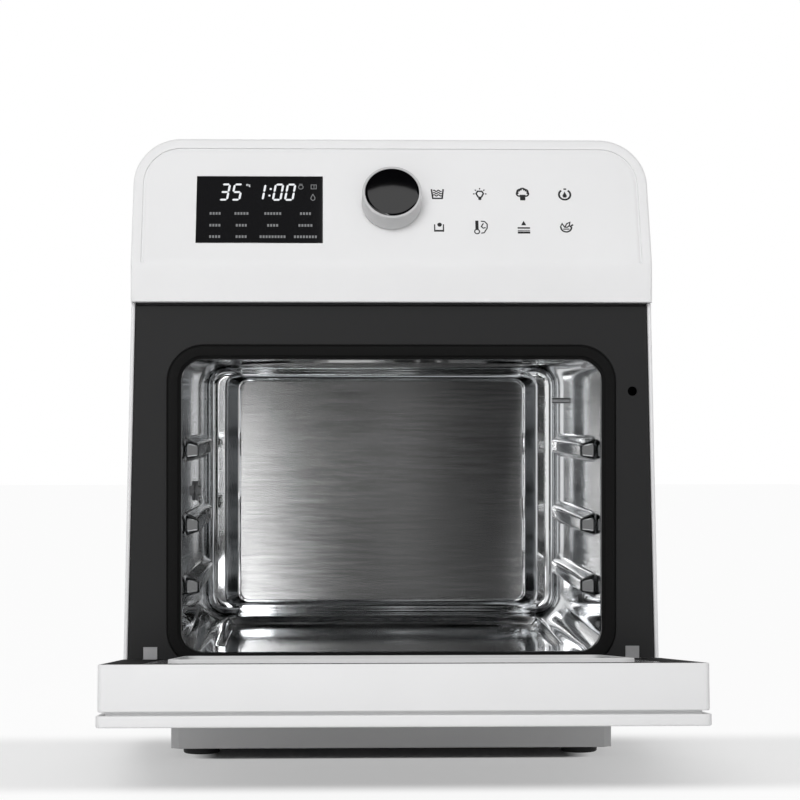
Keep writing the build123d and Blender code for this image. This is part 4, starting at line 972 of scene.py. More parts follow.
@dataclass
class Cabinet:
    """The white casing and the dark frame at its front."""

    corner_radius: float = 31.0
    shell_wall: float = 1.2
    sheet_edge: float = 0.4
    hem_width: float = 2.6
    hem_depth: float = 10.0
    rear_flange: float = 12.0
    flange_setback: float = 2.65
    seat_gap: float = 0.3
    tilt: float = 25.0
    strip_height: float = 25.7
    bend_reach: float = 4.0
    level_step: float = 12.0
    fascia_wall: float = 3.0
    fascia_rim: float = 14.0
    rim_edge: float = 0.3
    edge_radius: float = 1.8
    lower_edge_radius: float = 0.8
    groove_inset: float = 6.4
    groove_width: float = 1.9
    groove_depth: float = 1.5
    groove_lip: float = 0.5
    groove_lip_depth: float = 0.12
    groove_lean: float = 0.2
    groove_fade: float = 1.5
    plate_wall: float = 2.0
    plate_edge: float = 0.7
    plate_corner: float = 0.6
    plate_top_gap: float = 1.5
    sensor_radius: float = 3.1
    sensor_x: float = 158.2
    sensor_z: float = 240.4
    tank_gap: float = 0.5
    tank_corner: float = 4.0
    rear_rows: int = 8
    arc_steps: int = 20
    columns: int = 24
    shell: Span = field(default_factory=lambda: Span.of("outer_shell"))
    fascia_span: Span = field(default_factory=lambda: Span.of("control_fascia"))
    frame_span: Span = field(default_factory=lambda: Span.of("front_frame"))

    def __post_init__(self) -> None:
        """Reads the levels of the outline."""
        self.half_top = self.fascia_span.x1
        self.top = self.fascia_span.z1
        self.low = self.fascia_span.z0
        self.face_y = self.fascia_span.y0
        self.bend_z = self.low + self.strip_height
        self.slope = math.tan(math.radians(self.tilt))

    def half_width(self, z: Points) -> Points:
        """Half the cabinet's width: upright at the fascia, growing evenly towards the base."""
        drop = np.maximum(0.0, self.low - np.asarray(z, float)) / (self.low - self.shell.z0)
        return self.half_top + (self.shell.x1 - self.half_top) * drop

    def flared(self, ring: Points) -> Points:
        """Widens a front-view ring with the flaring sides: x times the half width over its least value.

        Args:
            ring: Points (x, z).

        Returns:
            The widened ring.
        """
        out = ring.copy()
        out[:, 0] *= self.half_width(ring[:, 1]) / self.half_top
        return out

    def face_depth(self, z: Points) -> Points:
        """Depth of the fascia's face: upright, then sloping back, joined by a parabola at the bend.

        Args:
            z: Heights.

        Returns:
            The depth at each height.
        """
        above = np.asarray(z, float) - self.bend_z
        reach = self.bend_reach
        rise = np.where(above < reach, np.maximum(above + reach, 0.0) ** 2 / (4 * reach), above)
        return self.face_y + rise * self.slope

    def half_outline(self, inset: float, low_inset: float) -> Points:
        """The fascia's right-hand outline from its lower edge up the side and round the top corner.

        Args:
            inset: How far the side and the top are moved inwards.
            low_inset: How far the lower edge is moved up.

        Returns:
            Points (x, z) upwards.
        """
        arc_z = self.top - self.corner_radius
        bend = self.bend_z + np.linspace(-self.bend_reach, self.bend_reach, 9)
        above = np.linspace(self.bend_z + self.level_step, arc_z, 5)[:-1]
        levels = np.concatenate([[self.low + low_inset, self.low + self.level_step], bend, above])
        side = np.stack([np.full(len(levels), self.half_top - inset), levels], axis=1)
        turn = np.linspace(0.0, math.pi / 2, self.arc_steps + 1)
        radius = self.corner_radius - inset
        centre = self.half_top - self.corner_radius
        arc = np.stack([centre + radius * np.cos(turn), arc_z + radius * np.sin(turn)], axis=1)
        return np.concatenate([side, arc])

    def face_grid(self, inset: float, low_inset: float, back: float) -> Points:
        """Rows across the fascia between its left and right outline, on its face moved back by an amount.

        Args:
            inset: How far the side and the top are moved inwards.
            low_inset: How far the lower edge is moved up.
            back: Distance behind the face.

        Returns:
            An array (rows, columns, 3).
        """
        half = self.half_outline(inset, low_inset)
        shares = np.linspace(-1.0, 1.0, self.columns + 1)
        x = half[:, :1] * shares
        z = np.repeat(half[:, 1:], len(shares), axis=1)
        return np.stack([x, self.face_depth(z) + back, z], axis=-1)

    @staticmethod
    def border(grid: Points) -> Points:
        """The points round a grid's edge, in order."""
        return np.concatenate([grid[0], grid[1:-1, -1], grid[-1, ::-1], grid[-2:0:-1, 0]])

    def engraved(self, inset: float, depth: float) -> Points:
        """One rail of the engraved line, whose depth fades in above the bend.

        Args:
            inset: How far the rail lies inside the outline.
            depth: How deep it lies on the slope.

        Returns:
            Points (x, y, z) round the face.
        """
        ring = self.border(self.face_grid(inset, self.lower_edge_radius + 0.1 * inset, 0.0))
        ring[:, 1] += depth * ease((ring[:, 2] - self.bend_z) / self.groove_fade)
        return ring

    def fascia(self) -> Object:
        """The control fascia: rounded rim, engraved line and soft bend, hollow behind.

        Returns:
            The piece, before its openings are cut.
        """
        rim, soft, low_ratio = self.fascia_rim, self.rim_edge, self.lower_edge_radius / self.edge_radius
        grids = [(self.fascia_wall, self.fascia_wall, rim), (soft, soft, rim), (0, 0, rim - soft),
                 (0, 0, rim / 2)]
        grids += [(inset, inset * low_ratio, drop) for inset, drop in fillet_steps(self.edge_radius, 6)]
        rings = [self.border(self.face_grid(*grid)) for grid in grids]
        near, far = self.groove_inset, self.groove_inset + self.groove_width
        lip, lean = self.groove_lip, self.groove_lean
        rails = ((near - lip, 0.0), (near, self.groove_lip_depth), (near + lean, self.groove_depth),
                 (far - lean, self.groove_depth), (far, self.groove_lip_depth), (far + lip, 0.0))
        rings += [self.engraved(inset, depth) for inset, depth in rails]
        middle = self.face_grid(far + 2, self.lower_edge_radius + 1.2, 0.0)
        inside = self.face_grid(self.fascia_wall, self.fascia_wall,
                                self.fascia_wall / math.cos(math.radians(self.tilt)))
        skin = Skin().patch(np.stack([*rings, self.border(middle)]), close_v=True).patch(middle)
        skin.patch(inside).patch(np.stack([self.border(inside), rings[0]]), close_v=True)
        return skin.piece("fascia_moulding", [MATERIALS["fascia_white"]], Sharp.BODY)

    def sheet_section(self, nose: float, behind: Sequence[Pair]) -> Points:
        """The sheet's section: a half circle at its front, the rows behind it, and the flange at the rear.

        Args:
            nose: Radius of the half circle.
            behind: Rows (inset, depth) behind the half circle.

        Returns:
            Rows (inset, depth) round the section, with the rear ones last.
        """
        depth, wall, soft = self.shell.y1, self.shell_wall, self.sheet_edge
        flange_y = depth - self.flange_setback
        turn = np.linspace(0.0, math.pi, 9)
        front = np.stack([nose - nose * np.cos(turn), nose - nose * np.sin(turn)], axis=1)
        rear = [(wall, flange_y - wall), (self.rear_flange, flange_y - wall), (self.rear_flange, flange_y),
                (wall, flange_y), (wall, depth - soft), (wall - soft, depth), (soft, depth),
                (0.0, depth - soft)]
        return np.concatenate([front, behind, rear])

    def wrapper(self) -> Object:
        """The sheet wrapper: the sheet's section carried up the sides and over the arch.

        Beside the frame the sheet has a rolled hem. Beside the fascia its front follows the slope. A point
        lies inside the outline by its inset, measured along X on a side and along the radius on an arc.

        Returns:
            The piece, with its opening for the water tank.
        """
        wall, radius, shelf = self.shell_wall, self.corner_radius, self.low - self.seat_gap
        hem, hem_y = self.hem_width, self.hem_depth
        lower = self.sheet_section(hem / 2, [(hem, hem_y), (wall, hem_y)])
        z = np.linspace(self.shell.z0, shelf, 8)[:, None]
        sides = np.stack(np.broadcast_arrays(self.half_width(z) - lower[:, 0], lower[:, 1], z), axis=-1)
        upper = self.sheet_section(wall / 2, [(wall, 2.0), (wall, 3.0)])
        arc_z = self.top - radius
        turn = np.linspace(0.0, math.pi / 2, self.arc_steps + 1)[1:]
        levels = [shelf, self.bend_z - 0.01, self.bend_z + 0.01, arc_z]
        base = np.array(levels + [arc_z] * self.arc_steps)[:, None]
        turn = np.concatenate([np.zeros(len(levels)), turn])[:, None]
        rise = np.maximum(0.0, base + radius * np.sin(turn) - self.bend_z) * self.slope
        front = self.fascia_rim + self.face_y + self.seat_gap + rise
        moves = np.arange(len(upper)) < len(upper) - self.rear_rows
        reach = radius - upper[:, 0]
        arch = np.stack([self.half_width(base) - radius + reach * np.cos(turn), upper[:, 1] + front * moves,
                         base + reach * np.sin(turn)], axis=-1)
        right = np.concatenate([sides, arch])
        grid = np.concatenate([right, right[::-1] * (-1, 1, 1)])
        skin = Skin().patch(grid, close_v=True).lid(grid[0]).lid(grid[-1])
        lid, gap = Span.of("tank_lid"), self.tank_gap
        ring = rounded_ring((lid.x1 - lid.x0) / 2 + gap, lid.y0 - gap, lid.y1 + gap, self.tank_corner, 6,
                            centre=lid.middle[0])
        tool = Skin().stations([at_height(ring, z) for z in (self.top - 4, self.top + 4)])
        return cut(skin.piece("wrapper_sheet", [MATERIALS["shell_paint"]], Sharp.BODY), tool)

    def front_plate(self, cavity: "Cavity") -> Object:
        """The dark frame: a plate that follows the flaring sides, with a rolled mouth and a sensor hole.

        Args:
            cavity: The cavity whose mouth it goes round.

        Returns:
            The piece, with its holes.
        """
        plate, gap = self.frame_span, self.seat_gap
        high = plate.z1 - self.plate_top_gap
        y0, y1 = plate.y0, plate.y0 + self.plate_wall
        shares = even_shares(6)

        def outer(move: float) -> Points:
            """The plate's outline, moved inwards."""
            return self.flared(rounded_ring(self.half_top - self.hem_width - gap - move, plate.z0 + move,
                                            high - move, self.plate_corner, 12, shares, shares))

        def mouth(move: float) -> Points:
            """The mouth's outline, moved outwards."""
            return cavity.mouth_ring(cavity.gasket_width + gap + move, 12, shares, shares)

        skin = Skin().loop(plate_rings(outer, mouth, y0, y1, self.plate_edge))
        front, back = y0 - TOOL_REACH, y1 + TOOL_REACH
        tool = Skin().stations(cylinder(self.sensor_radius, (self.sensor_x, front, self.sensor_z),
                                        (self.sensor_x, back, self.sensor_z)))
        hinge = Hinges()
        half, neck = hinge.ear_wall / 2 + gap, hinge.ear_neck / 2 + 1
        for x in (-hinge.x, hinge.x):
            tool.block(x - half, x + half, front, back, hinge.z - neck, hinge.z + neck)
        return cut(skin.piece("front_plate", [MATERIALS["frame_dark"]], Sharp.BODY), tool)

    def ledges(self) -> Skin:
        """The plate's upper and lower ledge, which reach back into the cabinet.

        Returns:
            Their skin.
        """
        plate, wall = self.frame_span, self.shell_wall
        inset = self.hem_width + self.seat_gap
        y1 = plate.y0 + self.plate_wall
        high = float(self.half_width(plate.z1)) - inset
        low = float(self.half_width(plate.z0)) - inset - wall
        return Skin().block(-high, high, y1 - 1, plate.y1, plate.z1 - wall, plate.z1).block(
            -low, low, y1 + 0.05, plate.y1, plate.z0, plate.z0 + wall)

    def build(self, cavity: "Cavity", panel: "Panel") -> None:
        """Builds and dresses the cabinet's pieces.

        Args:
            cavity: The cavity whose mouth the frame goes round.
            panel: The sloping panel, with the pocket that is cut into the fascia.
        """
        fascia = cut(self.fascia(), panel.openings())
        stand_for(fascia, Body.CABINET, "fascia_white", "control_fascia")
        stand_for(self.wrapper(), Body.CABINET, "shell_paint", "outer_shell")
        stand_for(self.front_plate(cavity), Body.CABINET, "frame_dark", "front_frame")
        show(self.ledges(), "front_plate_ledges", Body.CABINET, "frame_dark", sharp=Sharp.FINE)


# Cavity: liner, pressed back panel, seal


@dataclass
class Cavity:
    """The polished oven cavity behind its black seal."""

    width: float = 275.0
    low: float = 69.4
    top: float = 260.9
    front: float = 2.8
    depth: float = 277.0
    corner: float = 14.5
    draft: float = 5.0
    rise: float = 3.0
    wall: float = 1.0
    flange: float = 13.5
    gasket_width: float = 9.4
    back_round: float = 7.0
    lip: float = 1.5
    rib_heights: Tuple[float, ...] = (111.0, 152.0, 202.0)
    rib_length: float = 225.0
    rib_height: float = 17.0
    rib_slopes: Pair = (7.0, 4.0)
    rib_blend: float = 0.3
    rib_band: float = 12.5
    rib_clear: float = 14.0
    fine_pitch: float = 0.8
    coarse_pitch: float = 5.0
    pan_band: Pair = (102.0, 121.0)
    pan_pitch: float = 1.2
    pan_inner: float = 98.0
    rib_end: float = 10.0
    rib_tip_x: float = 127.5
    pan_half: float = 111.0
    pan_depth: float = 2.5
    pan_slope: float = 6.0
    pan_corner: float = 24.0
    opening_radius: float = 95.0
    fan_y: float = 141.0
    lamp_radius: float = 11.0
    nozzle_radius: float = 3.6
    nozzle_drop: float = 7.0
    probe_radius: float = 2.1
    panel_wall: float = 0.8
    panel_bevel: float = 11.0
    panel_rise_share: float = 0.62
    panel_corner: float = 12.0

    def __post_init__(self) -> None:
        """Spaces the points round a section: close at the ledges and the pan's edge, wide elsewhere."""
        self.back = self.front + self.depth
        self.middle_y = (self.front + self.back) / 2
        half = self.width / 2 - self.corner
        edge = np.arange(*self.pan_band, self.pan_pitch)
        across = np.concatenate([-edge[::-1], np.linspace(-self.pan_inner, self.pan_inner, 30), edge])
        self.across = (across + half) / (2 * half)
        z0, z1 = self.low + self.corner, self.top - self.corner
        bands = [np.arange(z - self.rib_band, z + self.rib_band + 0.1, self.fine_pitch)
                 for z in self.rib_heights]
        rest = np.arange(z0 + 3, z1, self.coarse_pitch)
        clear = rest[np.abs(rest[:, None] - self.rib_heights).min(axis=1) > self.rib_clear]
        self.up = (np.sort(np.concatenate([*bands, clear])) - z0) / (z1 - z0)

    def mouth_ring(self, grow: float, steps: int = 12, across: Sequence[float] = (),
                   up: Sequence[float] = ()) -> Points:
        """The mouth's outline, moved outwards, with the corner runs and extra points of rounded_ring."""
        return rounded_ring(self.width / 2 + grow, self.low - grow, self.top + grow, self.corner + grow,
                            steps, across, up)

    def section(self, y: float, inset: float) -> Points:
        """The cavity's section at a depth: narrower and shallower towards the back.

        Args:
            y: Depth.
            inset: How far it is moved inwards.

        Returns:
            Points (x, y, z) round the section.
        """
        share = min(1.0, max(0.0, (y - self.front) / self.depth))
        half, low = self.width / 2 - self.draft * share, self.low + self.rise * share
        ring = rounded_ring(half - inset, low + inset, self.top - inset, max(self.corner - inset, 1.5), 10,
                            self.across, self.up)
        return self.pressed(at_depth(ring, y), share)

    def pressed(self, ring: Points, share: float) -> Points:
        """Presses the rack ledges into the sides and the pan into the floor of one section.

        A ledge is the wall's distance to the ledge's tip times an eased slope in height and in depth. The
        pan is its depth times an eased slope of the distance to a rounded square.

        Args:
            ring: Points of the section.
            share: How far back the section lies, from 0 to 1.

        Returns:
            The pressed section.
        """
        x, y, z = ring.T.copy()
        ends = (self.rib_length / 2 - np.abs(y - self.middle_y)) / self.rib_end
        wall_x = self.width / 2 - self.draft * share
        over, under = (slope + self.rib_blend for slope in self.rib_slopes)
        edge = self.rib_height / 2 + self.rib_blend
        for height in self.rib_heights:
            slope = np.where(z > height, (edge - z + height) / over, (edge + z - height) / under)
            reach = (wall_x - self.rib_tip_x) * ease(slope) * ease(ends)
            on_wall = np.abs(x) > self.rib_tip_x
            x = np.where(on_wall, x - np.sign(x) * reach, x)
        straight = self.pan_half - self.pan_corner
        over_x = np.maximum(np.abs(x) - straight, 0.0)
        over_y = np.maximum(np.abs(y - self.middle_y) - straight, 0.0)
        outside = np.hypot(over_x, over_y) - self.pan_corner
        pan = ease(1.0 - outside / self.pan_slope)
        floor = z < self.low + self.rise + 1.0
        z = np.where(floor, z - pan * (self.pan_depth + self.rise * share), z)
        return np.stack([x, y, z], axis=1)

    def liner(self) -> Object:
        """The drawn liner: flange, rolled lip, drafted walls with ledges, rounded back and back wall.

        Returns:
            The piece, with its holes.
        """
        front, r_back = self.front, self.back_round
        mouth = [(self.flange, front), (6.0, front), (self.lip + 0.4, front)]
        mouth += [(inset, front + drop) for inset, drop in reversed(fillet_steps(self.lip, 5))]
        rings = [at_depth(self.mouth_ring(grow, 10, self.across, self.up), y) for grow, y in mouth]
        depths = np.concatenate([np.linspace(6, 24, 8), np.arange(25, 43, 0.9), np.linspace(46, 238, 22),
                                 np.arange(240, 259, 0.9), np.linspace(261, self.back - r_back, 4)])
        sections = [(y, 0.0) for y in depths]
        sections += [(self.back - drop, inset) for inset, drop in fillet_steps(r_back, 8)[1:]]
        sections += [(self.back, r_back + 1), (self.back, 20.0)]
        rings += [self.section(y, inset) for y, inset in sections]
        skin = Skin().patch(np.stack(rings), close_v=True).lid(rings[-1])
        liner = skin.piece("liner_sheet", [MATERIALS["liner_steel"]], Sharp.PRESSED)
        thickened(liner, self.wall, -self.inward(liner))
        nozzle, probe, lens = (Span.of(node) for node in ("steam_nozzle", "temperature_probe", "lamp_lens"))
        below, above = self.top - 5, self.top + 6
        nozzle_at, probe_at = (nozzle.middle[1], nozzle.z1 - self.nozzle_drop), probe.middle[1:]
        tool = Skin()
        for radius, start, end, steps in (
                (self.opening_radius, (0, self.fan_y, below), (0, self.fan_y, above), 72),
                (self.lamp_radius, (*lens.middle[:2], below), (*lens.middle[:2], above), 48),
                (self.nozzle_radius, (-150, *nozzle_at), (-120, *nozzle_at), 24),
                (self.probe_radius, (120, *probe_at), (150, *probe_at), 24)):
            tool.stations(cylinder(radius, start, end, steps))
        return cut(liner, tool, Sharp.PRESSED)

    @staticmethod
    def inward(sheet: Object) -> float:
        """Tells which way an open sheet's faces look.

        Args:
            sheet: The sheet.

        Returns:
            1 if they look towards its middle, -1 if not.
        """
        mesh = sheet.data
        centre = sum((point.co for point in mesh.vertices), Vector()) / len(mesh.vertices)
        score = sum(face.normal.dot(centre - face.center) * face.area for face in mesh.polygons)
        return 1.0 if score > 0 else -1.0

    def pressed_back(self) -> Object:
        """The pressed back panel: rounded steps up a bevel, with a brushed middle.

        Returns:
            The piece.
        """
        span = Span.of("back_panel")
        y0, y1, bevel, wall = span.y0, span.y1, self.panel_bevel, self.panel_wall
        shares = even_shares(8)

        def ring(inset: float, y: float) -> Points:
            """The panel's outline at one inset and depth."""
            radius, lift = self.panel_corner - 5.0 * min(inset, bevel) / bevel, inset * self.panel_rise_share
            return at_depth(rounded_ring(span.x1 - inset, span.z0 + lift, span.z1 - lift, radius, 12, shares,
                                         shares), y)

        steps = rounded_profile([(0.0, y1, 0), (0.0, y1 - wall, 0.6), (1.6, y1 - 1.2, 1.2),
                                 (bevel - 0.6, y0 + 0.3, 1.4), (bevel + 0.8, y0 + 0.3, 0.5),
                                 (bevel + 1.6, y0, 0.5), (bevel + 4.0, y0, 0)], closed=False, steps=5)
        rings = [ring(inset, y) for inset, y in steps]
        behind = [ring(bevel + wall, y0 + wall + 0.2), ring(wall, y1 - 0.3)]
        split = int(np.argmax(steps[:, 0] > bevel + 0.9))
        skin = Skin().patch(np.stack(behind + rings[:split + 1]), close_v=True)
        skin.patch(np.stack(rings[split:]), close_v=True, slot=1).lid(rings[-1], 1).lid(behind[0])
        finishes = [MATERIALS["liner_steel"], MATERIALS["brushed_panel"]]
        return skin.piece("pressed_back", finishes, Sharp.PRESSED)

    def seal(self) -> Skin:
        """The seal: a closed bulb section with a lip, carried round the mouth.

        Returns:
            Its skin.
        """
        span = Span.of("cavity_gasket")
        near, far, y0, y1 = 0.5, self.gasket_width + 0.25, span.y0, span.y1
        profile = rounded_profile([(near, y1, 0.3), (near, y0 + 1.6, 0.5), (near + 1.4, y0 + 1.2, 0.4),
                                   (near + 2.2, y0, 1.0), (far - 1.0, y0, 1.3), (far, y0 + 1.8, 0.8),
                                   (far, y1, 0.3)], steps=4)
        shares = even_shares(6)
        return Skin().loop([at_depth(self.mouth_ring(grow, 12, shares, shares), y) for grow, y in profile])

    def build(self) -> None:
        """Builds and dresses the cavity's pieces."""
        stand_for(self.liner(), Body.CABINET, "liner_steel", "cavity_liner")
        stand_for(self.pressed_back(), Body.CABINET, "brushed_panel", "back_panel")
        show(self.seal(), "mouth_seal", Body.CABINET, "seal_black", "cavity_gasket", sharp=Sharp.PRESSED)


# Sloping panel: display, knob and touch marks


class Marks:
    """Printed or lit shapes on the panel: strokes and filled outlines, each a thin closed prism."""

    height: float = 0.05

    def __init__(self, panel: "Panel", base: float) -> None:
        """Starts the marks at a distance out of the panel's face."""
        self.panel, self.base, self.high = panel, base, base + self.height
        self.skin = Skin()

    def ring(self, outline: Points, out: float) -> Points:
        """An outline, given across and up the panel, at a distance out of its face."""
        return self.panel.at(outline[:, 0], outline[:, 1], out)

    def fill(self, outline: Sequence[Pair], place: Pair = (0, 0)) -> None:
        """Adds a filled outline at a place."""
        outline = np.asarray(outline, float) + place
        self.skin.stations([self.ring(outline, out) for out in (self.base, self.high)])

    def disc(self, radius: float, place: Pair, steps: int = 20) -> None:
        """Adds a filled circle."""
        turn = np.linspace(0, 2 * math.pi, steps, endpoint=False)
        self.fill(np.stack([np.cos(turn), np.sin(turn)], axis=1) * radius, place)

    def line(self, points: Sequence[Pair], width: float, place: Pair = (0, 0),
             closed: bool = False) -> None:
        """Adds a stroke: its two rails lie half its width either side of the line, mitred at the turns.

        Args:
            points: The line's points.
            width: The stroke's width.
            place: Where the line's own origin goes.
            closed: Whether the stroke closes on itself.
        """
        line = np.asarray(points, float) + place
        if closed:
            runs = np.roll(line, -1, axis=0) - line
        else:
            runs = np.diff(line, axis=0)
            runs = np.concatenate([runs, runs[-1:]])
        runs = runs / np.linalg.norm(runs, axis=1, keepdims=True)
        before = np.roll(runs, 1, axis=0)
        if not closed:
            before[0] = runs[0]
        normal = np.stack([-(runs + before)[:, 1], (runs + before)[:, 0]], axis=1)
        normal /= np.linalg.norm(normal, axis=1, keepdims=True)
        square = np.stack([-runs[:, 1], runs[:, 0]], axis=1)
        reach = width / 2 / np.maximum((normal * square).sum(1, keepdims=True), 0.5)
        left, right = line + normal * reach, line - normal * reach
        if not closed:
            self.fill(np.concatenate([left, right[::-1]]))
            return
        rails = ((left, self.base), (left, self.high), (right, self.high), (right, self.base))
        self.skin.loop([self.ring(rail, out) for rail, out in rails])

    def arc(self, radius: float, start: float, end: float, width: float, place: Pair) -> None:
        """Adds an arc stroke; a full turn is a ring.

        Args:
            radius: The arc's radius.
            start: The angle at its start, in degrees.
            end: The angle at its end.
            width: The stroke's width.
            place: The arc's middle.
        """
        closed = abs(end - start) >= 360
        turn = np.radians(np.linspace(start, end, 29))
        points = np.stack([np.cos(turn), np.sin(turn)], axis=1) * radius
        self.line(points[:-1] if closed else points, width, place, closed)


@dataclass
class Panel:
    """The sloping panel with its black display, pressing knob and eight touch marks."""

    cabinet: Cabinet
    display_x: float = -87.0
    display_up: float = 39.9
    display_width: float = 83.3
    display_height: float = 50.5
    glass_wall: float = 2.0
    ledge: float = 2.0
    opening_depth: float = 12.0
    knob_up: float = 43.9
    knob_radius: float = 19.75
    knob_height: float = 15.0
    knob_lift: float = 1.6
    cap_radius: float = 17.75
    cap_depth: float = 3.0
    cap_proud: float = 0.4
    cap_dome: float = 0.55
    knob_wall: float = 2.5
    knob_hollow: float = 4.0
    hub_radius: float = 6.0
    bore_radius: float = 3.02
    shaft_hole: float = 3.6
    mark_columns: Tuple[float, ...] = (30.5, 58.6, 87.0, 115.0)
    mark_rows: Pair = (51.7, 26.8)
    digit_slant: float = 0.16
    digit_stroke: float = 1.35
    digit_gap: float = 0.22
    digit_width: float = 4.9
    digit_height: float = 11.6
    digit_low: float = 47.2
    label_pitch: float = 1.95
    label_size: Pair = (1.3, 1.9)
    label_rows: Triple = (36.8, 27.9, 19.4)

    def at(self, across: Points, up: Points, out: Points) -> Points:
        """Places on the panel: across, up the slope and out of its face, turned by the panel's tilt.

        Args:
            across: Distance along X.
            up: Distance up the slope from the bend.
            out: Distance out of the face.

        Returns:
            Points (x, y, z).
        """
        tilt = math.radians(self.cabinet.tilt)
        across, up, out = np.broadcast_arrays(np.asarray(across, float), np.asarray(up, float),
                                              np.asarray(out, float))
        y = self.cabinet.face_y + up * math.sin(tilt) - out * math.cos(tilt)
        z = self.cabinet.bend_z + up * math.cos(tilt) + out * math.sin(tilt)
        return np.stack([across, y, z], axis=-1)

    def rings(self, half_x: float, half_up: float, radius: float, stations: Sequence[Pair],
              place: Pair) -> List[Points]:
        """Rounded rectangles on the panel at several insets and heights.

        Args:
            half_x: Half the width.
            half_up: Half the height.
            radius: Corner radius.
            stations: Pairs of inset and distance out of the face.
            place: Centre across and up.

        Returns:
            The rings.
        """
        made = []
        for inset, out in stations:
            round_off = max(radius - inset, 0.05)
            flat = rounded_ring(half_x - inset, inset - half_up, half_up - inset, round_off, 5)
            made.append(self.at(*(flat + place).T, out))
        return made

    def openings(self) -> Skin:
        """What is cut out of the fascia: the display's pocket and opening, and the shaft hole.

        Returns:
            The closed blocks to cut with.
        """
        half_x, half_up = self.display_width / 2 + 0.05, self.display_height / 2 + 0.05
        wall, depth = self.glass_wall, self.opening_depth
        stations = [(0.0, TOOL_REACH), (0.0, -wall), (self.ledge, -wall), (self.ledge, -depth)]
        tool = Skin().stations(self.rings(half_x, half_up, 0.3, stations, (self.display_x, self.display_up)))
        return tool.stations(self.turned([(self.shaft_hole, -depth), (self.shaft_hole, TOOL_REACH)], 32))

    def turned(self, profile: Iterable[Sequence[float]], steps: int = 96) -> List[Points]:
        """Rings of a profile (radius, out) turned about the knob's axis: radius times cosine and sine."""
        turn = np.linspace(0, 2 * math.pi, steps, endpoint=False)
        return [self.at(reach * np.cos(turn), self.knob_up + reach * np.sin(turn), out)
                for reach, out in profile]

    def glass(self) -> Skin:
        """The black display glass with eased edges.

        Returns:
            Its skin.
        """
        stations = [(0.2, -self.glass_wall), (0.0, -self.glass_wall + 0.2)]
        stations += [(inset, -drop) for inset, drop in fillet_steps(0.3, 3)] + [(0.6, 0.0)]
        return Skin().stations(self.rings(self.display_width / 2, self.display_height / 2, 0.4, stations,
                                          (self.display_x, self.display_up)))

    def digit(self, marks: Marks, figure: str, left: float) -> None:
        """Draws one slanted seven-segment figure: a segment is a hexagon between two corners.

        Args:
            marks: Where it is drawn.
            figure: A figure from 0 to 9.
            left: Place of its left edge.
        """
        lit = {"0": "abcdef", "1": "bc", "3": "abcdg", "5": "acdfg"}[figure]
        right, high, mid = self.digit_width, self.digit_height, self.digit_height / 2
        corners = {"a": ((0, high), (right, high)), "g": ((0, mid), (right, mid)), "d": ((0, 0), (right, 0)),
                   "f": ((0, mid), (0, high)), "e": ((0, 0), (0, mid)), "b": ((right, mid), (right, high)),
                   "c": ((right, 0), (right, mid))}
        for name in lit:
            a, b = (np.array(end, float) for end in corners[name])
            along = (b - a) / np.linalg.norm(b - a)
            aside = np.array([-along[1], along[0]]) * self.digit_stroke / 2
            point = along * self.digit_stroke / 2
            a, b = a + along * self.digit_gap, b - along * self.digit_gap
            hexagon = np.array([a, a + point + aside, b - point + aside, b, b - point - aside,
                                a + point - aside])
            hexagon[:, 0] += hexagon[:, 1] * self.digit_slant
            marks.fill(hexagon, (left, self.digit_low))

    def readout(self) -> None:
        """The lit figures, small signs and greyed label bars behind the glass's face."""
        lit = Marks(self, 0.01)
        for figure, left in (("3", -113.5), ("5", -105.4), ("1", -90.0), ("0", -78.3), ("0", -70.3)):
            self.digit(lit, figure, left)
        for up in (50.4, 55.4):
            lit.disc(0.75, (-81.1 + (up - self.digit_low) * self.digit_slant, up), 12)
        lit.arc(0.6, 0, 360, 0.3, (-95.3, 58.4))
        lit.line([(0.7, 0.5), (0, 0.5), (0, -0.8), (0.7, -0.8)], 0.35, (-94.0, 57.9))
        show(lit.skin, "lit_figures", Body.CABINET, "module_black", finish="lit_digits", sharp=Sharp.FINE)
        dim = Marks(self, 0.01)
        dim.arc(1.5, 0, 360, 0.45, (-59.9, 56.9))
        dim.line([(-1.2, 1.9), (1.2, 1.9)], 0.45, (-59.9, 57.2))
        dim.line([(-1.7, 1.4), (1.7, 1.4), (1.7, -1.6), (-1.7, -1.6)], 0.45, (-51.4, 57.2), closed=True)
        dim.line([(0.2, 1.0), (0.2, -0.9)], 0.4, (-51.4, 57.2))
        drop = [(0.0, 2.6), (0.9, 1.0), (1.4, -0.2), (1.1, -1.4), (0.0, -2.0), (-1.1, -1.4), (-1.4, -0.2),
                (-0.9, 1.0)]
        dim.line(drop, 0.5, (-51.9, 48.8), closed=True)
        columns = ((-116.2, (4, 4, 4)), (-98.9, (5, 4, 4)), (-78.3, (6, 4, 9)), (-56.8, (4, 5, 8)))
        bar = np.array([(-0.5, -0.5), (0.5, -0.5), (0.5, 0.5), (-0.5, 0.5)]) * self.label_size
        for centre, counts in columns:
            for up, count in zip(self.label_rows, counts):
                for i in range(count):
                    dim.fill(bar, (centre + self.label_pitch * (i - (count - 1) / 2), up))
        show(dim.skin, "dim_labels", Body.CABINET, "module_black", finish="lit_labels", sharp=Sharp.FINE)

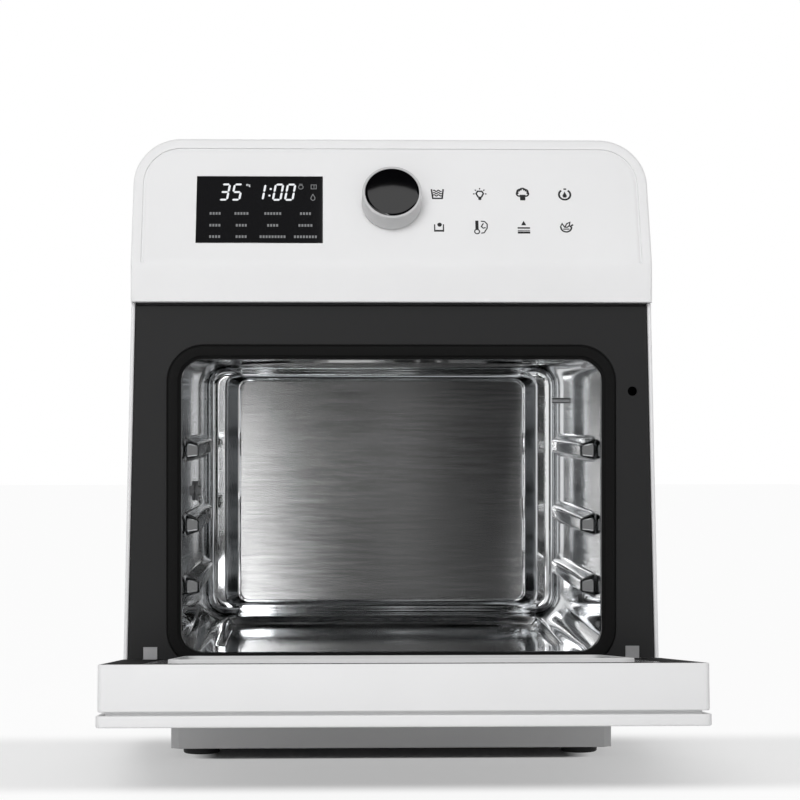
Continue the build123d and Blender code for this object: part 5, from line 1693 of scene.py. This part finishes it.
    def touch_marks(self) -> None:
        """Eight plain pictograms, printed on the panel."""
        ink = Marks(self, 0.0)
        (first, second, third, fourth), (high, low) = self.mark_columns, self.mark_rows
        bold, thin = 1.05, 0.8
        ink.line([(-3.9, 3.9), (-3.1, -3.1), (3.1, -3.1), (3.9, 3.9)], bold, (first, high))
        for row in (2.6, 0.9, -0.8):
            wave = [(x, row + 0.5 * math.sin(x * 2.2)) for x in np.linspace(-2.8, 2.8, 19)]
            ink.line(wave, thin, (first, high))
        bulb = [(-1.0, -2.2), (-2.4, 0.6), (-1.4, 2.4), (1.4, 2.4), (2.4, 0.6), (1.0, -2.2)]
        ink.line(bulb, bold, (second, high))
        ink.fill([(-1.2, -1.7), (-0.9, -4.2), (0.9, -4.2), (1.2, -1.7)], (second, high))
        for angle in (0, 45, 90, 135, 180):
            turn = math.radians(angle)
            ray = [(r * math.cos(turn), r * math.sin(turn)) for r in (3.4, 4.5)]
            ink.line(ray, thin, (second, high + 0.4))
        for angle, radius in ((200, 1.8), (140, 1.8), (90, 2.1), (40, 1.8), (-20, 1.8)):
            turn = math.radians(angle)
            place = (third + 2.3 * math.cos(turn), high + 1.1 + 1.5 * math.sin(turn))
            ink.arc(radius, angle - 95, angle + 95, bold, place)
        ink.fill([(-1.9, -0.4), (-1.7, -4.6), (1.7, -4.6), (1.9, -0.4)], (third, high + 0.2))
        ink.arc(3.8, 125, 415, 1.25, (fourth, high))
        ink.line([(-0.6, 4.2), (1.2, 4.2)], bold, (fourth, high))
        ink.fill([(0.0, 2.4), (1.5, -1.0), (0.9, -2.2), (-0.9, -2.2), (-1.5, -1.0)], (fourth, high))
        ink.line([(-2.9, 2.2), (-2.9, -2.6), (2.9, -2.6), (2.9, 2.2)], thin, (first + 0.6, low))
        ink.line([(-3.3, -2.7), (3.3, -2.7)], 1.3, (first + 0.6, low))
        ink.disc(1.5, (first + 1.0, low + 1.9))
        ink.line([(0.0, 5.0), (0.0, -2.0)], 2.1, (second - 2.5, low))
        ink.arc(1.6, 0, 360, thin, (second - 2.5, low - 3.2))
        leaf = [(0.2, 4.6), (2.6, 4.4), (4.3, 2.4), (4.2, -0.6), (2.2, -4.0), (0.2, -4.4)]
        ink.line(leaf, thin, (second, low))
        ink.line([(1.8, 3.0), (0.4, 0.6), (1.6, -0.6), (3.2, -0.2)], thin, (second, low))
        ink.fill([(0.0, 5.0), (1.7, 1.6), (-1.7, 1.6)], (third, low))
        for row, width in ((-0.4, 1.1), (-2.2, 0.5), (-3.8, 1.6)):
            ink.line([(-4.1, row), (4.1, row)], width, (third, low))
        ink.arc(3.5, 175, 365, bold, (fourth, low + 0.2))
        ink.line([(-3.9, 0.2), (-2.6, 2.9), (-1.0, 0.2)], thin, (fourth, low))
        leaf = [(-0.8, 0.2), (0.4, 2.8), (2.6, 3.9), (2.2, 1.6), (0.8, 0.2)]
        ink.line(leaf, thin, (fourth, low), closed=True)
        ink.line([(2.4, 0.4), (4.6, 2.2)], bold, (fourth, low))
        ink.line([(-2.0, -1.2), (2.0, -1.2)], thin, (fourth, low))
        show(ink.skin, "touch_marks", Body.CABINET, "cap_black", finish="print_ink", sharp=Sharp.FINE)

    def knob(self) -> None:
        """The knob: a turned pale ring with a glossy, slightly domed black cap in its face."""
        lift, top = self.knob_lift, self.knob_lift + self.knob_height
        radius, cap, inner = self.knob_radius, self.cap_radius, self.knob_radius - self.knob_wall
        seat, hollow, hub = top - self.cap_depth, lift + self.knob_hollow, self.hub_radius
        profile = rounded_profile([(0.0, seat, 0), (cap, seat, 0), (cap, top - 0.05, 0.35),
                                   (radius - 0.25, top, 0.75), (radius, lift, 0.45), (inner, lift, 0.3),
                                   (inner, hollow, 0.3), (hub, hollow, 0.3), (hub, lift, 0.3),
                                   (self.bore_radius, lift, 0.2), (self.bore_radius, seat - 1, 0),
                                   (0.0, seat - 1, 0)], closed=False, steps=5)
        edge, proud = cap - 0.05, top + self.cap_proud
        radii = np.linspace(edge - 0.35, 0.0, 14)
        dome = np.stack([radii, proud - self.cap_dome * (radii / edge) ** 2], axis=1)
        disc = [(0.0, seat + 0.02), (edge, seat + 0.02), (edge, proud - 0.95), (edge - 0.1, proud - 0.7)]
        for line, name, slot, node in ((profile, "knob_ring", "knob_pale", "knob_body"),
                                       (np.concatenate([disc, dome]), "knob_disc", "cap_black", "knob_cap")):
            skin = Skin().patch(np.stack(self.turned(line)), close_v=True)
            show(skin, name, Body.KNOB, slot, node, sharp=Sharp.TURNED)

    def build(self) -> None:
        """Builds and dresses the panel's pieces."""
        show(self.glass(), "display_glass", Body.CABINET, "black_glass", "display_window",
             sharp=Sharp.PRESSED)
        self.readout()
        self.touch_marks()
        self.knob()


# Door and hinges


@dataclass(frozen=True)
class Hinges:
    """The door hinges' places."""

    x: float = 158.0
    z: float = 58.0
    y: float = -9.5
    ear_wall: float = 3.0
    ear_neck: float = 8.0
    cheek_gap: float = 0.3
    cheek_wall: float = 2.4
    notch_reach: float = 9.0
    open_angle: float = 85.0

    def opened(self, points: Points) -> Points:
        """Turns door points from their closed place to the open stop, about the hinge axis along X.

        Args:
            points: Points (x, y, z).

        Returns:
            The turned points.
        """
        angle = math.radians(self.open_angle)
        dy, dz = points[:, 1] - self.y, points[:, 2] - self.z
        return np.stack([points[:, 0], self.y + dy * math.cos(angle) - dz * math.sin(angle),
                         self.z + dy * math.sin(angle) + dz * math.cos(angle)], axis=1)


@dataclass
class Door:
    """The drop-down door, drawn closed and then opened."""

    cabinet: Cabinet
    hinges: Hinges = Hinges()
    gap: float = 1.5
    play: float = 0.2
    block_depth: float = 26.4
    block_edge: float = 0.9
    groove: float = 2.0
    groove_inset: float = 4.0
    outer_wall: float = 6.6
    outer_edge: float = 1.1
    overhang: float = 1.0
    rim: float = 1.0
    inner_wall: float = 1.4
    sheet_edge: float = 0.25
    corner: float = 3.0
    low: float = 55.0
    top_gap: float = 1.3
    window_half: float = 118.0
    window_high: float = 150.0
    window_z: float = 165.0
    window_corner: float = 10.0
    glass_wall: float = 3.0
    glass_margin: float = 7.0
    trim_half: float = 148.0
    trim_high: float = 206.0
    trim_edge: float = 0.45
    bead_half: float = 134.5
    bead_high: float = 185.0
    bead_width: float = 2.4
    bead_rise: float = 2.3
    slot_half: float = 65.0
    slot_high: float = 16.0
    slot_z: float = 276.0
    slot_floor: float = 12.0
    slot_corner: float = 5.0
    slot_lip: Tuple[Pair, ...] = (
        (1.4, -0.5), (1.0, -0.001), (0.65, 0.1), (0.3, 0.35), (0.05, 0.8), (0.0, 1.4))

    def __post_init__(self) -> None:
        """Reads the door's upper end from the cabinet."""
        self.top = self.cabinet.low - self.top_gap
        self.shares = even_shares(4)

    def outline(self, inset: float) -> Points:
        """The door's outline with the cabinet's flare, moved inwards.

        Args:
            inset: How far it is moved.

        Returns:
            Points (x, z).
        """
        radius = max(self.corner - inset, 0.6)
        ring = rounded_ring(self.cabinet.half_top - inset, self.low + inset, self.top - inset, radius, 6,
                            self.shares, self.shares)
        return self.cabinet.flared(ring)

    def opening(self, half: float, high: float, grow: float) -> Points:
        """A rounded rectangle of a half width and a height round the window's middle, moved outwards."""
        reach = high / 2 + grow
        return rounded_ring(half + grow, self.window_z - reach, self.window_z + reach,
                            self.window_corner + grow, 6, self.shares, self.shares)

    def window(self, grow: float) -> Points:
        """The window's outline, moved outwards."""
        return self.opening(self.window_half, self.window_high, grow)

    def notches(self, margin: float) -> Skin:
        """The pockets round both hinges.

        Args:
            margin: How far they reach beyond the hinges' cheeks.

        Returns:
            The closed blocks to cut with.
        """
        hinge = self.hinges
        half = hinge.ear_wall / 2 + hinge.cheek_gap + hinge.cheek_wall + margin
        tool = Skin()
        for x in (-hinge.x, hinge.x):
            tool.block(x - half, x + half, hinge.y - hinge.notch_reach - margin, 5, self.low - 5,
                       hinge.z + hinge.notch_reach - 1 + margin)
        return tool

    def finished(self, rings: Sequence[Points], name: str, slot: str, *nodes: str,
                 tool: Optional[Skin] = None) -> None:
        """Builds a door piece, opens it, cuts it, and lets it stand for its node.

        Args:
            rings: Rings round the piece's section, drawn closed.
            name: Its name.
            slot: Its finish.
            *nodes: The node it replaces.
            tool: What is cut out of it, drawn closed.
        """
        skin = Skin().loop(rings).moved(self.hinges.opened)
        made = skin.piece(name, [MATERIALS[slot]], Sharp.BODY)
        if tool is not None:
            cut(made, tool.moved(self.hinges.opened))
        stand_for(made, Body.DOOR, slot, *nodes)

    def block(self) -> None:
        """The white block: rounded sides, a raised rim round the inner sheet, window and finger slot."""
        inner, outer = -self.gap, -self.gap - self.block_depth
        seat = inner - self.inner_wall
        floor, glass = seat - self.glass_wall - self.play, self.glass_margin + self.play
        window, outline, edge = self.window, self.outline, fillet_steps(self.block_edge, 4)
        rows = [(window, 2.0, floor), (window, 2.0, outer), (window, 3.0, outer), (outline, 1.2, outer)]
        rows += [(outline, inset, outer + drop) for inset, drop in reversed(edge)]
        rows += [(outline, inset * 0.5, inner - drop * 0.5) for inset, drop in edge]
        rows += [(outline, self.rim, inner), (outline, self.rim, seat), (window, glass, seat),
                 (window, glass, floor)]
        tool, half_slot = self.notches(0.05), self.slot_high / 2
        tool.block(-self.slot_half, self.slot_half, outer - 1, -self.slot_floor, self.slot_z - half_slot,
                   self.slot_z + half_slot)
        self.finished(depth_rings(rows), "door_block", "door_white", "door_frame", tool=tool)

    def inner_sheet(self) -> None:
        """The black sheet over the door's inner face, with an opening round the bright trim."""
        inner, play = -self.gap, self.play
        rings = plate_rings(lambda d: self.outline(self.rim + 0.1 + d),
                            lambda d: self.opening(self.trim_half + play, self.trim_high + 2 * play, d),
                            inner - self.inner_wall, inner, self.sheet_edge)
        self.finished(rings, "door_sheet", "door_black", "door_inner_panel", tool=self.notches(0.3))

    def trim(self) -> None:
        """The bright trim round the inner glass."""
        rings = plate_rings(lambda d: self.opening(self.trim_half, self.trim_high, -d), self.window,
                            -self.gap - self.inner_wall, -self.gap, self.trim_edge)
        self.finished(rings, "door_trim", "frame_steel", "door_glass_frame")

    def bead(self) -> None:
        """The pale raised bead on the trim, which enters the cavity's mouth when the door is closed."""
        low, high, width = -self.gap - 0.1, -self.gap + self.bead_rise, self.bead_width
        profile = rounded_profile([(0.0, low, 0), (0.0, high, 0.6), (width, high, 0.6), (width, low, 0)],
                                  steps=4)
        rings = [at_depth(self.opening(self.bead_half, self.bead_high, -inset), y) for inset, y in profile]
        self.finished(rings, "door_bead", "door_white")

    def front(self) -> None:
        """The outer panel: a groove behind it, rounded edges, a window and a rounded finger slot."""
        y1 = -self.gap - self.block_depth
        y2 = y1 - self.groove
        y3 = y2 - self.outer_wall
        over, glass, pane = -self.overhang, self.glass_margin + self.play, y1 - self.glass_wall
        window, outline, edge = self.window, self.outline, fillet_steps(self.outer_edge, 5)
        rows = [(window, glass, y1), (outline, self.groove_inset, y1), (outline, self.groove_inset, y2),
                (outline, over + 0.7, y2)]
        rows += [(outline, over + inset * 0.3, y2 - drop * 0.3) for inset, drop in reversed(edge)]
        rows += [(outline, over + inset, y3 + drop) for inset, drop in edge]
        rows += [(outline, over + 1.6, y3), (window, 0.8, y3)]
        rows += [(window, inset, y3 + drop) for inset, drop in reversed(fillet_steps(0.5, 3))]
        rows += [(window, 0.0, pane), (window, glass, pane)]
        half, high = self.slot_half - 2, self.slot_high / 2 - 1

        def slot(grow: float) -> Points:
            """The finger slot's outline, moved outwards."""
            return rounded_ring(half + grow, self.slot_z - high - grow, self.slot_z + high + grow,
                                self.slot_corner + grow, 6)

        stations = [(slot, grow, y3 + y) for grow, y in self.slot_lip] + [(slot, 0.0, y1 + 1.0)]
        self.finished(depth_rings(rows), "door_face", "door_white", "door_outer_panel",
                      tool=Skin().stations(depth_rings(stations)))

    def build(self) -> None:
        """Builds and dresses the door's pieces."""
        self.block()
        self.inner_sheet()
        self.trim()
        self.bead()
        self.front()


# Drip tray


@dataclass
class Tray:
    """The pull-out drip tray below the door."""

    front_thickness: float = 6.0
    bevel: float = 5.0
    wall: float = 1.6
    side_margin: float = 10.0
    edge: float = 0.5
    pan_lift: float = 2.0
    pan_drop: float = 0.7
    pan_corner: float = 3.0
    pan_round: float = 0.8
    pan_edge: float = 0.4
    span: Span = field(default_factory=lambda: Span.of("drip_tray"))

    def bar_outline(self, inset: float) -> Points:
        """The bar's outline seen from above, moved inwards.

        Args:
            inset: How far it is moved.

        Returns:
            Points (x, y).
        """
        x, y0 = self.span.x1 - inset, self.span.y0 + inset
        y1 = self.span.y0 + self.front_thickness - inset
        corner = self.bevel - inset * (math.sqrt(2) - 1)
        return rounded_profile([(corner - x, y0, 0.5), (x - corner, y0, 0.5), (x, y0 + corner, 0.4),
                                (x, y1, 0.2), (-x, y1, 0.2), (-x, y0 + corner, 0.4)], steps=3)

    def bar(self) -> Skin:
        """The front bar: its bevelled outline seen from above, carried up with rounded edges.

        Returns:
            Its skin.
        """
        z0, z1, flat = self.span.z0, self.span.z1, self.edge + 0.2
        edge = fillet_steps(self.edge, 3)
        stations = [(flat, z0)] + [(inset, z0 + drop) for inset, drop in reversed(edge)]
        stations += [(inset, z1 - drop) for inset, drop in edge] + [(flat, z1)]
        return Skin().stations([at_height(self.bar_outline(inset), z) for inset, z in stations])

    def pan(self) -> Skin:
        """The shallow pan behind the bar, open above: rounded rectangles seen from above.

        Returns:
            Its skin.
        """
        span, wall, soft, low = self.span, self.wall, self.pan_edge, self.pan_round
        half, y0 = span.x1 - self.side_margin, span.y0 + self.front_thickness + 0.05
        z0, z1 = span.z0 + self.pan_lift, span.z1 - self.pan_drop
        stations = ((low, z0), (0.0, z0 + low), (0.0, z1 - soft), (soft, z1), (wall - soft, z1),
                    (wall, z1 - soft), (wall, z0 + wall + 1.0), (wall + 1.0, z0 + wall))
        return Skin().stations([at_height(rounded_ring(half - inset, y0 + inset, span.y1 - inset,
                                                       max(self.pan_corner - inset, 0.5), 5), z)
                                for inset, z in stations])

    def build(self) -> None:
        """Builds and dresses the tray."""
        show(self.bar(), "tray_bar", Body.TRAY, "tray_grey", "drip_tray")
        show(self.pan(), "tray_pan", Body.TRAY, "tray_grey")


# Studio: floor, light and camera


ALL_WHITE = (1.0, 1.0, 1.0, 1.0)


def upright(start: Pair, end: Pair, low: float, high: float) -> Tuple[Place, ...]:
    """The corners of a card that stands between two places, from one height to another."""
    return (*start, low), (*end, low), (*end, high), (*start, high)


def level(height: float, *places: Pair) -> Tuple[Place, ...]:
    """The corners of a card that lies level."""
    return tuple((*place, height) for place in places)


def in_metres(place: Place) -> Vector:
    """A place in the cabinet's frame, in metres of the model's frame."""
    return Vector((place[0], place[1] + FRONT_Y, place[2])) * MM


@dataclass(frozen=True)
class Card:
    """A card that only gloss sees, for the contrast on metal and glass."""

    name: str
    corners: Tuple[Place, ...]
    light: float = 0.0


@dataclass(frozen=True)
class Lamp:
    """A rectangular soft lamp, its size in metres and its power in watts."""

    name: str
    place: Place
    size: Pair
    power: float


CARDS: Tuple[Card, ...] = (
    Card("dark_front", upright((-170, -2510), (3200, -2510), 5, 2600)),
    Card("dark_ground", level(1, (-165, -300), (900, -300), (3200, -2500), (-315, -2500))),
    Card("dark_over_display", level(600, (-500, -310), (-43, -310), (-43, -40), (-500, -40))),
    Card("dark_ceiling", level(1520, (-2200, 900), (-2200, -800), (-120, -792), (-40, -757), (45, -743),
                               (130, -757), (210, -792), (2200, -800), (2200, 900))),
    Card("bright_left", upright((-290, -2505), (-170, -2505), 5, 1800), 7.5),
    Card("grey_left", upright((-700, -2505), (-290, -2505), 5, 1800), 1.0),
    Card("dark_slat", upright((-320, -2500), (-198, -2500), 5, 420)),
    Card("light_slit", upright((88, -2500), (132, -2500), 5, 300), 1.5),
    Card("light_path", level(2, (-75, -385), (-50, -385), (125, -2500), (95, -2500)), 0.9),
    Card("light_over_left", upright((-115, -2500), (-75, -2500), 335, 362), 1.4),
    Card("light_over_right", upright((60, -2500), (260, -2500), 450, 540), 0.9),
    Card("grey_side_left", upright((-760, -600), (-760, -30), 5, 600), 0.2),
    Card("grey_side_right", upright((760, -600), (760, -30), 5, 600), 0.2),
    Card("strip_one", upright((1000, -2400), (1080, -2400), 5, 1500), 2.0),
    Card("strip_two", upright((1900, -2300), (2060, -2300), 5, 1500), 2.0),
)
LAMPS: Tuple[Lamp, ...] = (
    Lamp("key_lamp", (-500.0, -2300.0, 1500.0), (1.2, 0.8), 27.0),
    Lamp("low_lamp", (-100.0, -2300.0, 110.0), (2.0, 0.18), 5.0),
)


@dataclass
class Studio:
    """Plain pale floor, soft light and the camera at the photograph's place."""

    camera_place: Place = (-47.2, -1638.0, 228.0)
    focal_px: float = 2500.0
    frame_px: float = 800.0
    aim_px: Pair = (80.0, 10.0)
    sensor: float = 36.0
    reach: float = 100.0
    lamp_aim: Place = (0.0, 0.0, 220.0)
    world_fill: float = 0.5
    floor_size: float = 12.0
    floor_colour: Colour = (0.86, 0.86, 0.86)
    floor_glow: float = 0.93
    pool_front: Pair = (-0.228, -0.180)
    pool_back: Pair = (0.061, -0.002)
    pool_side: Pair = (0.9, 0.12)
    pool_shade: float = 0.45
    core_side: Pair = (0.24, 0.14)
    core_shade: float = 0.07
    under_front: Pair = (-0.082, -0.066)
    under_side: Pair = (0.155, 0.108)
    card_colour: Colour = (0.01, 0.01, 0.01)

    @staticmethod
    def aimed(thing: Object, place: Vector, aim: Vector) -> Object:
        """Sets a camera or lamp at a place and turns it.

        Args:
            thing: The camera or lamp.
            place: Where it stands.
            aim: The way it looks.

        Returns:
            The same camera or lamp.
        """
        thing.location = place
        thing.rotation_euler = aim.to_track_quat("-Z", "Y").to_euler()
        return thing

    def camera(self) -> None:
        """Sets the camera; its aim is the photograph's middle seen from the vanishing point."""
        data = bpy.data.cameras.new("camera")
        data.sensor_width = self.sensor
        data.lens = self.sensor * self.focal_px / self.frame_px
        data.clip_end = self.reach
        aim = Vector((self.aim_px[0], self.focal_px, self.aim_px[1]))
        bpy.context.scene.camera = self.aimed(linked("camera", data), in_metres(self.camera_place), aim)

    def world(self) -> None:
        """White where the camera, gloss or glass looks, and a plain soft fill elsewhere."""
        world = bpy.data.worlds.new("studio")
        bpy.context.scene.world = world
        world.use_nodes = True
        tree = Tree(world.node_tree)
        shader = next(node for node in world.node_tree.nodes if node.type == "BACKGROUND")
        seen = tree.math("MULTIPLY", tree.looked_at(), 1.0 - self.world_fill)
        tree.give(shader, Color=ALL_WHITE, Strength=tree.math("ADD", self.world_fill, seen))

    def pool(self, tree: Tree) -> NodeSocket:
        """The soft pool of shade on the floor.

        It is the product of soft steps along the depth and of a slow fall to both sides. Under the cabinet's
        front edge it is another product of such steps, where that is more.

        Args:
            tree: The node tree of the floor's material.

        Returns:
            The socket of how much white the shade takes away.
        """
        place = tree.node("ShaderNodeSeparateXYZ", Vector=tree.place()).outputs
        depth, side = place["Y"], tree.math("ABSOLUTE", place["X"])

        def step(value: NodeSocket, span: Pair) -> NodeSocket:
            """A smooth step from 0 at the span's start to 1 at its end, in metres."""
            return tree.node("ShaderNodeMapRange", {"interpolation_type": "SMOOTHSTEP"}, Value=value,
                             From_Min=span[0], From_Max=span[1]).outputs[0]

        band = tree.math("MULTIPLY", step(depth, self.pool_front), step(depth, self.pool_back))
        core = tree.math("MULTIPLY", step(side, self.core_side), self.core_shade)
        wide = tree.math("ADD", core, tree.math("MULTIPLY", step(side, self.pool_side), self.pool_shade))
        under = tree.math("MULTIPLY", step(depth, self.under_front), step(side, self.under_side))
        return tree.math("MAXIMUM", tree.math("MULTIPLY", band, wide), under)

    def floor(self) -> None:
        """The floor: pale, and white where camera, gloss or glass looks, but for the pool of shade."""
        finish, tree, shader = new_finish("floor_pale")
        tree.give(shader, Base_Color=opaque(self.floor_colour), Roughness=0.6, Specular_IOR_Level=0.2)
        output = next(node for node in finish.node_tree.nodes if node.type == "OUTPUT_MATERIAL")
        left = tree.math("MAXIMUM", tree.math("SUBTRACT", self.floor_glow, self.pool(tree)), 0.0)
        share = tree.math("MULTIPLY", tree.looked_at(), left)
        mixed = tree.node("ShaderNodeMixShader")
        glow = tree.node("ShaderNodeEmission", Strength=1.0)
        for socket, value in zip(mixed.inputs, (share, shader.outputs[0], glow.outputs[0])):
            tree.feed(socket, value)
        tree.give(output, Surface=mixed.outputs[0])
        ring = np.array([(-1, -1, 0), (1, -1, 0), (1, 1, 0), (-1, 1, 0)]) * (self.floor_size / 2) / MM
        thing = Skin().lid(ring).piece("floor", [finish])

    def lamp(self, lamp: Lamp) -> None:
        """Adds a soft lamp that the camera and gloss don't see.

        Args:
            lamp: The lamp.
        """
        data = bpy.data.lights.new(lamp.name, "AREA")
        data.shape = "RECTANGLE"
        data.size, data.size_y = lamp.size
        data.energy = lamp.power
        place = in_metres(lamp.place)
        thing = self.aimed(linked(lamp.name, data), place, in_metres(self.lamp_aim) - place)
        thing.visible_camera = False
        thing.visible_glossy = False

    def card(self, card: Card) -> None:
        """Adds a black or lit card.

        Args:
            card: The card.
        """
        finish, tree, shader = new_finish(card.name)
        tree.give(shader, Base_Color=opaque(self.card_colour), Roughness=0.9, Specular_IOR_Level=0.0,
                  Emission_Color=ALL_WHITE, Emission_Strength=card.light)
        thing = Skin().lid(np.array(card.corners, float)).piece(card.name, [finish])
        thing.visible_camera = False
        thing.visible_diffuse = False
        thing.visible_shadow = False
        thing.visible_transmission = False

    def build(self) -> None:
        """Sets up the whole studio."""
        self.camera()
        self.world()
        self.floor()
        for lamp in LAMPS:
            self.lamp(lamp)
        for card in CARDS:
            self.card(card)
        bpy.context.scene.view_settings.view_transform = "Standard"


def dress_nodes() -> None:
    """Gives every CAD node the material of its slot in the record, then gives the door sensor the painted
    shade of its hole.
    """
    for part in frame["record"]["subparts"]:
        node = frame["nodes"][part["node"]]
        for place in node.material_slots:
            place.material = MATERIALS[part["material_slot"]]
        log.info("%s is dressed in %s", part["node"], part["material_slot"])
    # The door sensor is painted near-black without gloss, as the shade inside its hole in the frame.
    frame["nodes"]["door_sensor"].material_slots[0].material = MATERIALS["painted_hole_shade"]


def main() -> None:
    """Builds the dressed oven and its studio."""
    logging.basicConfig(level=logging.INFO)
    dress_nodes()
    cabinet = Cabinet()
    cavity = Cavity()
    panel = Panel(cabinet)
    cabinet.build(cavity, panel)
    cavity.build()
    panel.build()
    Door(cabinet).build()
    Tray().build()
    Studio().build()


if __name__ == "__main__":
    main()
